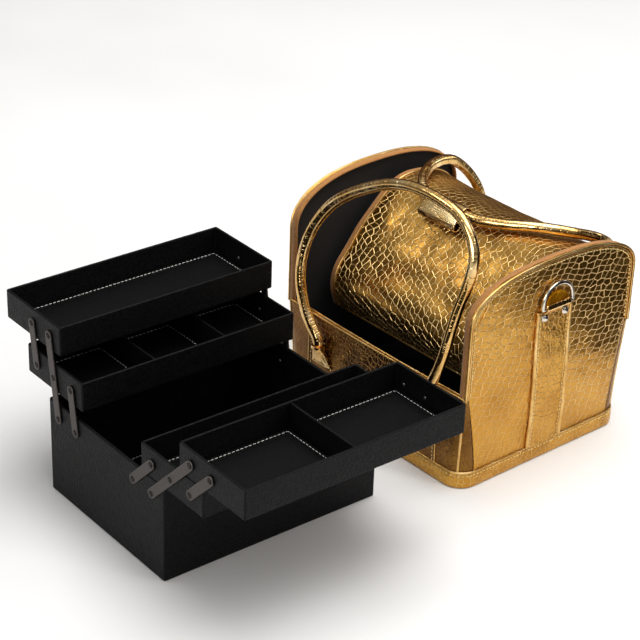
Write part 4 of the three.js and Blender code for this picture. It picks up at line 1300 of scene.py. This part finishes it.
# Matt paper: dull all over, with a breath of unevenness.
def mattPaper(name, colours):
    material, tree, shader = newMaterial(name, 0.9, Specular_IOR_Level=0.15)
    place = addNode(tree, "ShaderNodeTexCoord").outputs["Object"]
    cloud = addNode(tree, "ShaderNodeTexNoise", {"Scale": 2.5, "Detail": 2.0},
                    {"Vector": place}).outputs["Fac"]
    ramp = addNode(tree, "ShaderNodeValToRGB", links={"Fac": cloud})
    rampColours(ramp, [(0.3, colours[0]), (0.7, colours[1])])
    tree.links.new(ramp.outputs[0], shader.inputs["Base Color"])
    return material


# Where the camera stands in metres, its turns in degrees and its lens in millimetres.
shot = {"place": (1.50866, -1.43115, 1.21825), "around": 50.894, "above": 28.241, "roll": 2.065,
        "lens": 112.43}


def placeCamera():
    around, above, roll = (math.radians(shot[key]) for key in ["around", "above", "roll"])
    ahead = Vector((-math.sin(around) * math.cos(above), math.cos(around) * math.cos(above),
                    -math.sin(above)))
    level = Vector((math.cos(around), math.sin(around), 0))
    upright = level.cross(ahead)
    right = level * math.cos(roll) + upright * math.sin(roll)
    up = upright * math.cos(roll) - level * math.sin(roll)
    turn = Matrix((right, up, -ahead)).transposed().to_4x4()
    camera = bpy.data.objects.new("camera", bpy.data.cameras.new("camera"))
    camera.data.lens = shot["lens"]
    camera.data.sensor_width = 36
    camera.matrix_world = Matrix.Translation(shot["place"]) @ turn
    bpy.context.scene.collection.objects.link(camera)
    bpy.context.scene.camera = camera


def stageSheet(name, corners, paper):
    mesh = bpy.data.meshes.new(name)
    mesh.from_pydata(corners, [], [(0, 1, 2, 3)])
    mesh.materials.append(paper)
    sheet = bpy.data.objects.new(name, mesh)
    bpy.context.scene.collection.objects.link(sheet)
    return sheet


# The paper reaches far enough to hide its own edge from a low camera.
def layPaper():
    half = 60
    corners = [(-half, -half, 0), (half, -half, 0), (half, half, 0), (-half, half, 0)]
    paper = stageSheet("paper_floor", corners, mattPaper("matt_pale_paper", ("#F4F3F1", "#FBFAF9")))
    paper.location.z = -0.0005


lamps = {
    "key_softbox": {"at": (-1.3, -1.5, 2.1), "size": (0.6, 0.6), "watts": 9, "tint": "#FFFFFF",
                    "glossOnly": True},
    "front_softbox": {"at": (0.5, -1.9, 0.95), "size": (1.2, 1.0), "watts": 26, "tint": "#FFFFFF",
                      "glossOnly": True},
    "top_softbox": {"at": (0.2, 0.2, 2.6), "size": (2.4, 2.0), "watts": 56, "tint": "#FFFFFF",
                    "glossOnly": False},
    "side_softbox": {"at": (2.2, 0.9, 1.3), "size": (0.25, 1.6), "watts": 13, "tint": "#FFF8EE",
                     "glossOnly": False},
    "rear_strip": {"at": (0.9, 2.1, 1.2), "size": (2.2, 0.5), "watts": 8, "tint": "#FFFFFF",
                   "glossOnly": False},
}


def hangLamps():
    for name, lamp in lamps.items():
        light = bpy.data.lights.new(name, "AREA")
        light.shape = "RECTANGLE"
        light.size, light.size_y = lamp["size"]
        light.energy = lamp["watts"]
        light.color = hexToLinear(lamp["tint"])[:3]
        holder = bpy.data.objects.new(name, light)
        holder.location = lamp["at"]
        aim = Vector((0, -0.15, 0.12)) - holder.location
        holder.rotation_euler = aim.to_track_quat("-Z", "Y").to_euler()
        holder.visible_diffuse = not lamp["glossOnly"]
        bpy.context.scene.collection.objects.link(holder)


# Dark cards that only show in gloss: they give the foil something darker than the room to mirror.
cards = {
    "black_card": {"from": (0.54, 0.02, 0.13), "to": (0.18, 0.26, 0.0), "tall": 0.5,
                   "colours": ("#120E0B", "#18140F")},
    "brown_card": {"from": (-0.95, 0.2, 0), "to": (-0.15, 1.0, 0), "tall": 0.85,
                   "colours": ("#563F2F", "#5E4735")},
}


def standCards():
    for name, card in cards.items():
        a, b = Vector(card["from"]), Vector(card["to"])
        tall = Vector((0, 0, card["tall"]))
        flag = stageSheet(name, [a, b, b + tall, a + tall], mattPaper("matt_" + name, card["colours"]))
        flag.visible_camera = False
        flag.visible_diffuse = False
        flag.visible_shadow = False


# The room brightens from warm grey at the floor to white overhead.
def lightRoom():
    world = bpy.data.worlds.new("studio")
    bpy.context.scene.world = world
    world.use_nodes = True
    tree = world.node_tree
    tree.nodes["Background"].inputs["Strength"].default_value = 0.8
    direction = addNode(tree, "ShaderNodeTexCoord").outputs["Generated"]
    height = addNode(tree, "ShaderNodeSeparateXYZ", links={"Vector": direction}).outputs["Z"]
    ramp = addNode(tree, "ShaderNodeValToRGB", links={"Fac": height})
    rampColours(ramp, [(0.0, "#5A5148"), (0.2, "#7C7A78"), (0.5, "#A4A4A4"), (1.0, "#FFFFFF")])
    tree.links.new(ramp.outputs[0], tree.nodes["Background"].inputs["Color"])


placeCamera()
layPaper()
hangLamps()
standCards()
lightRoom()
print("stage made")
bpy.context.scene.view_settings.view_transform = "Standard"
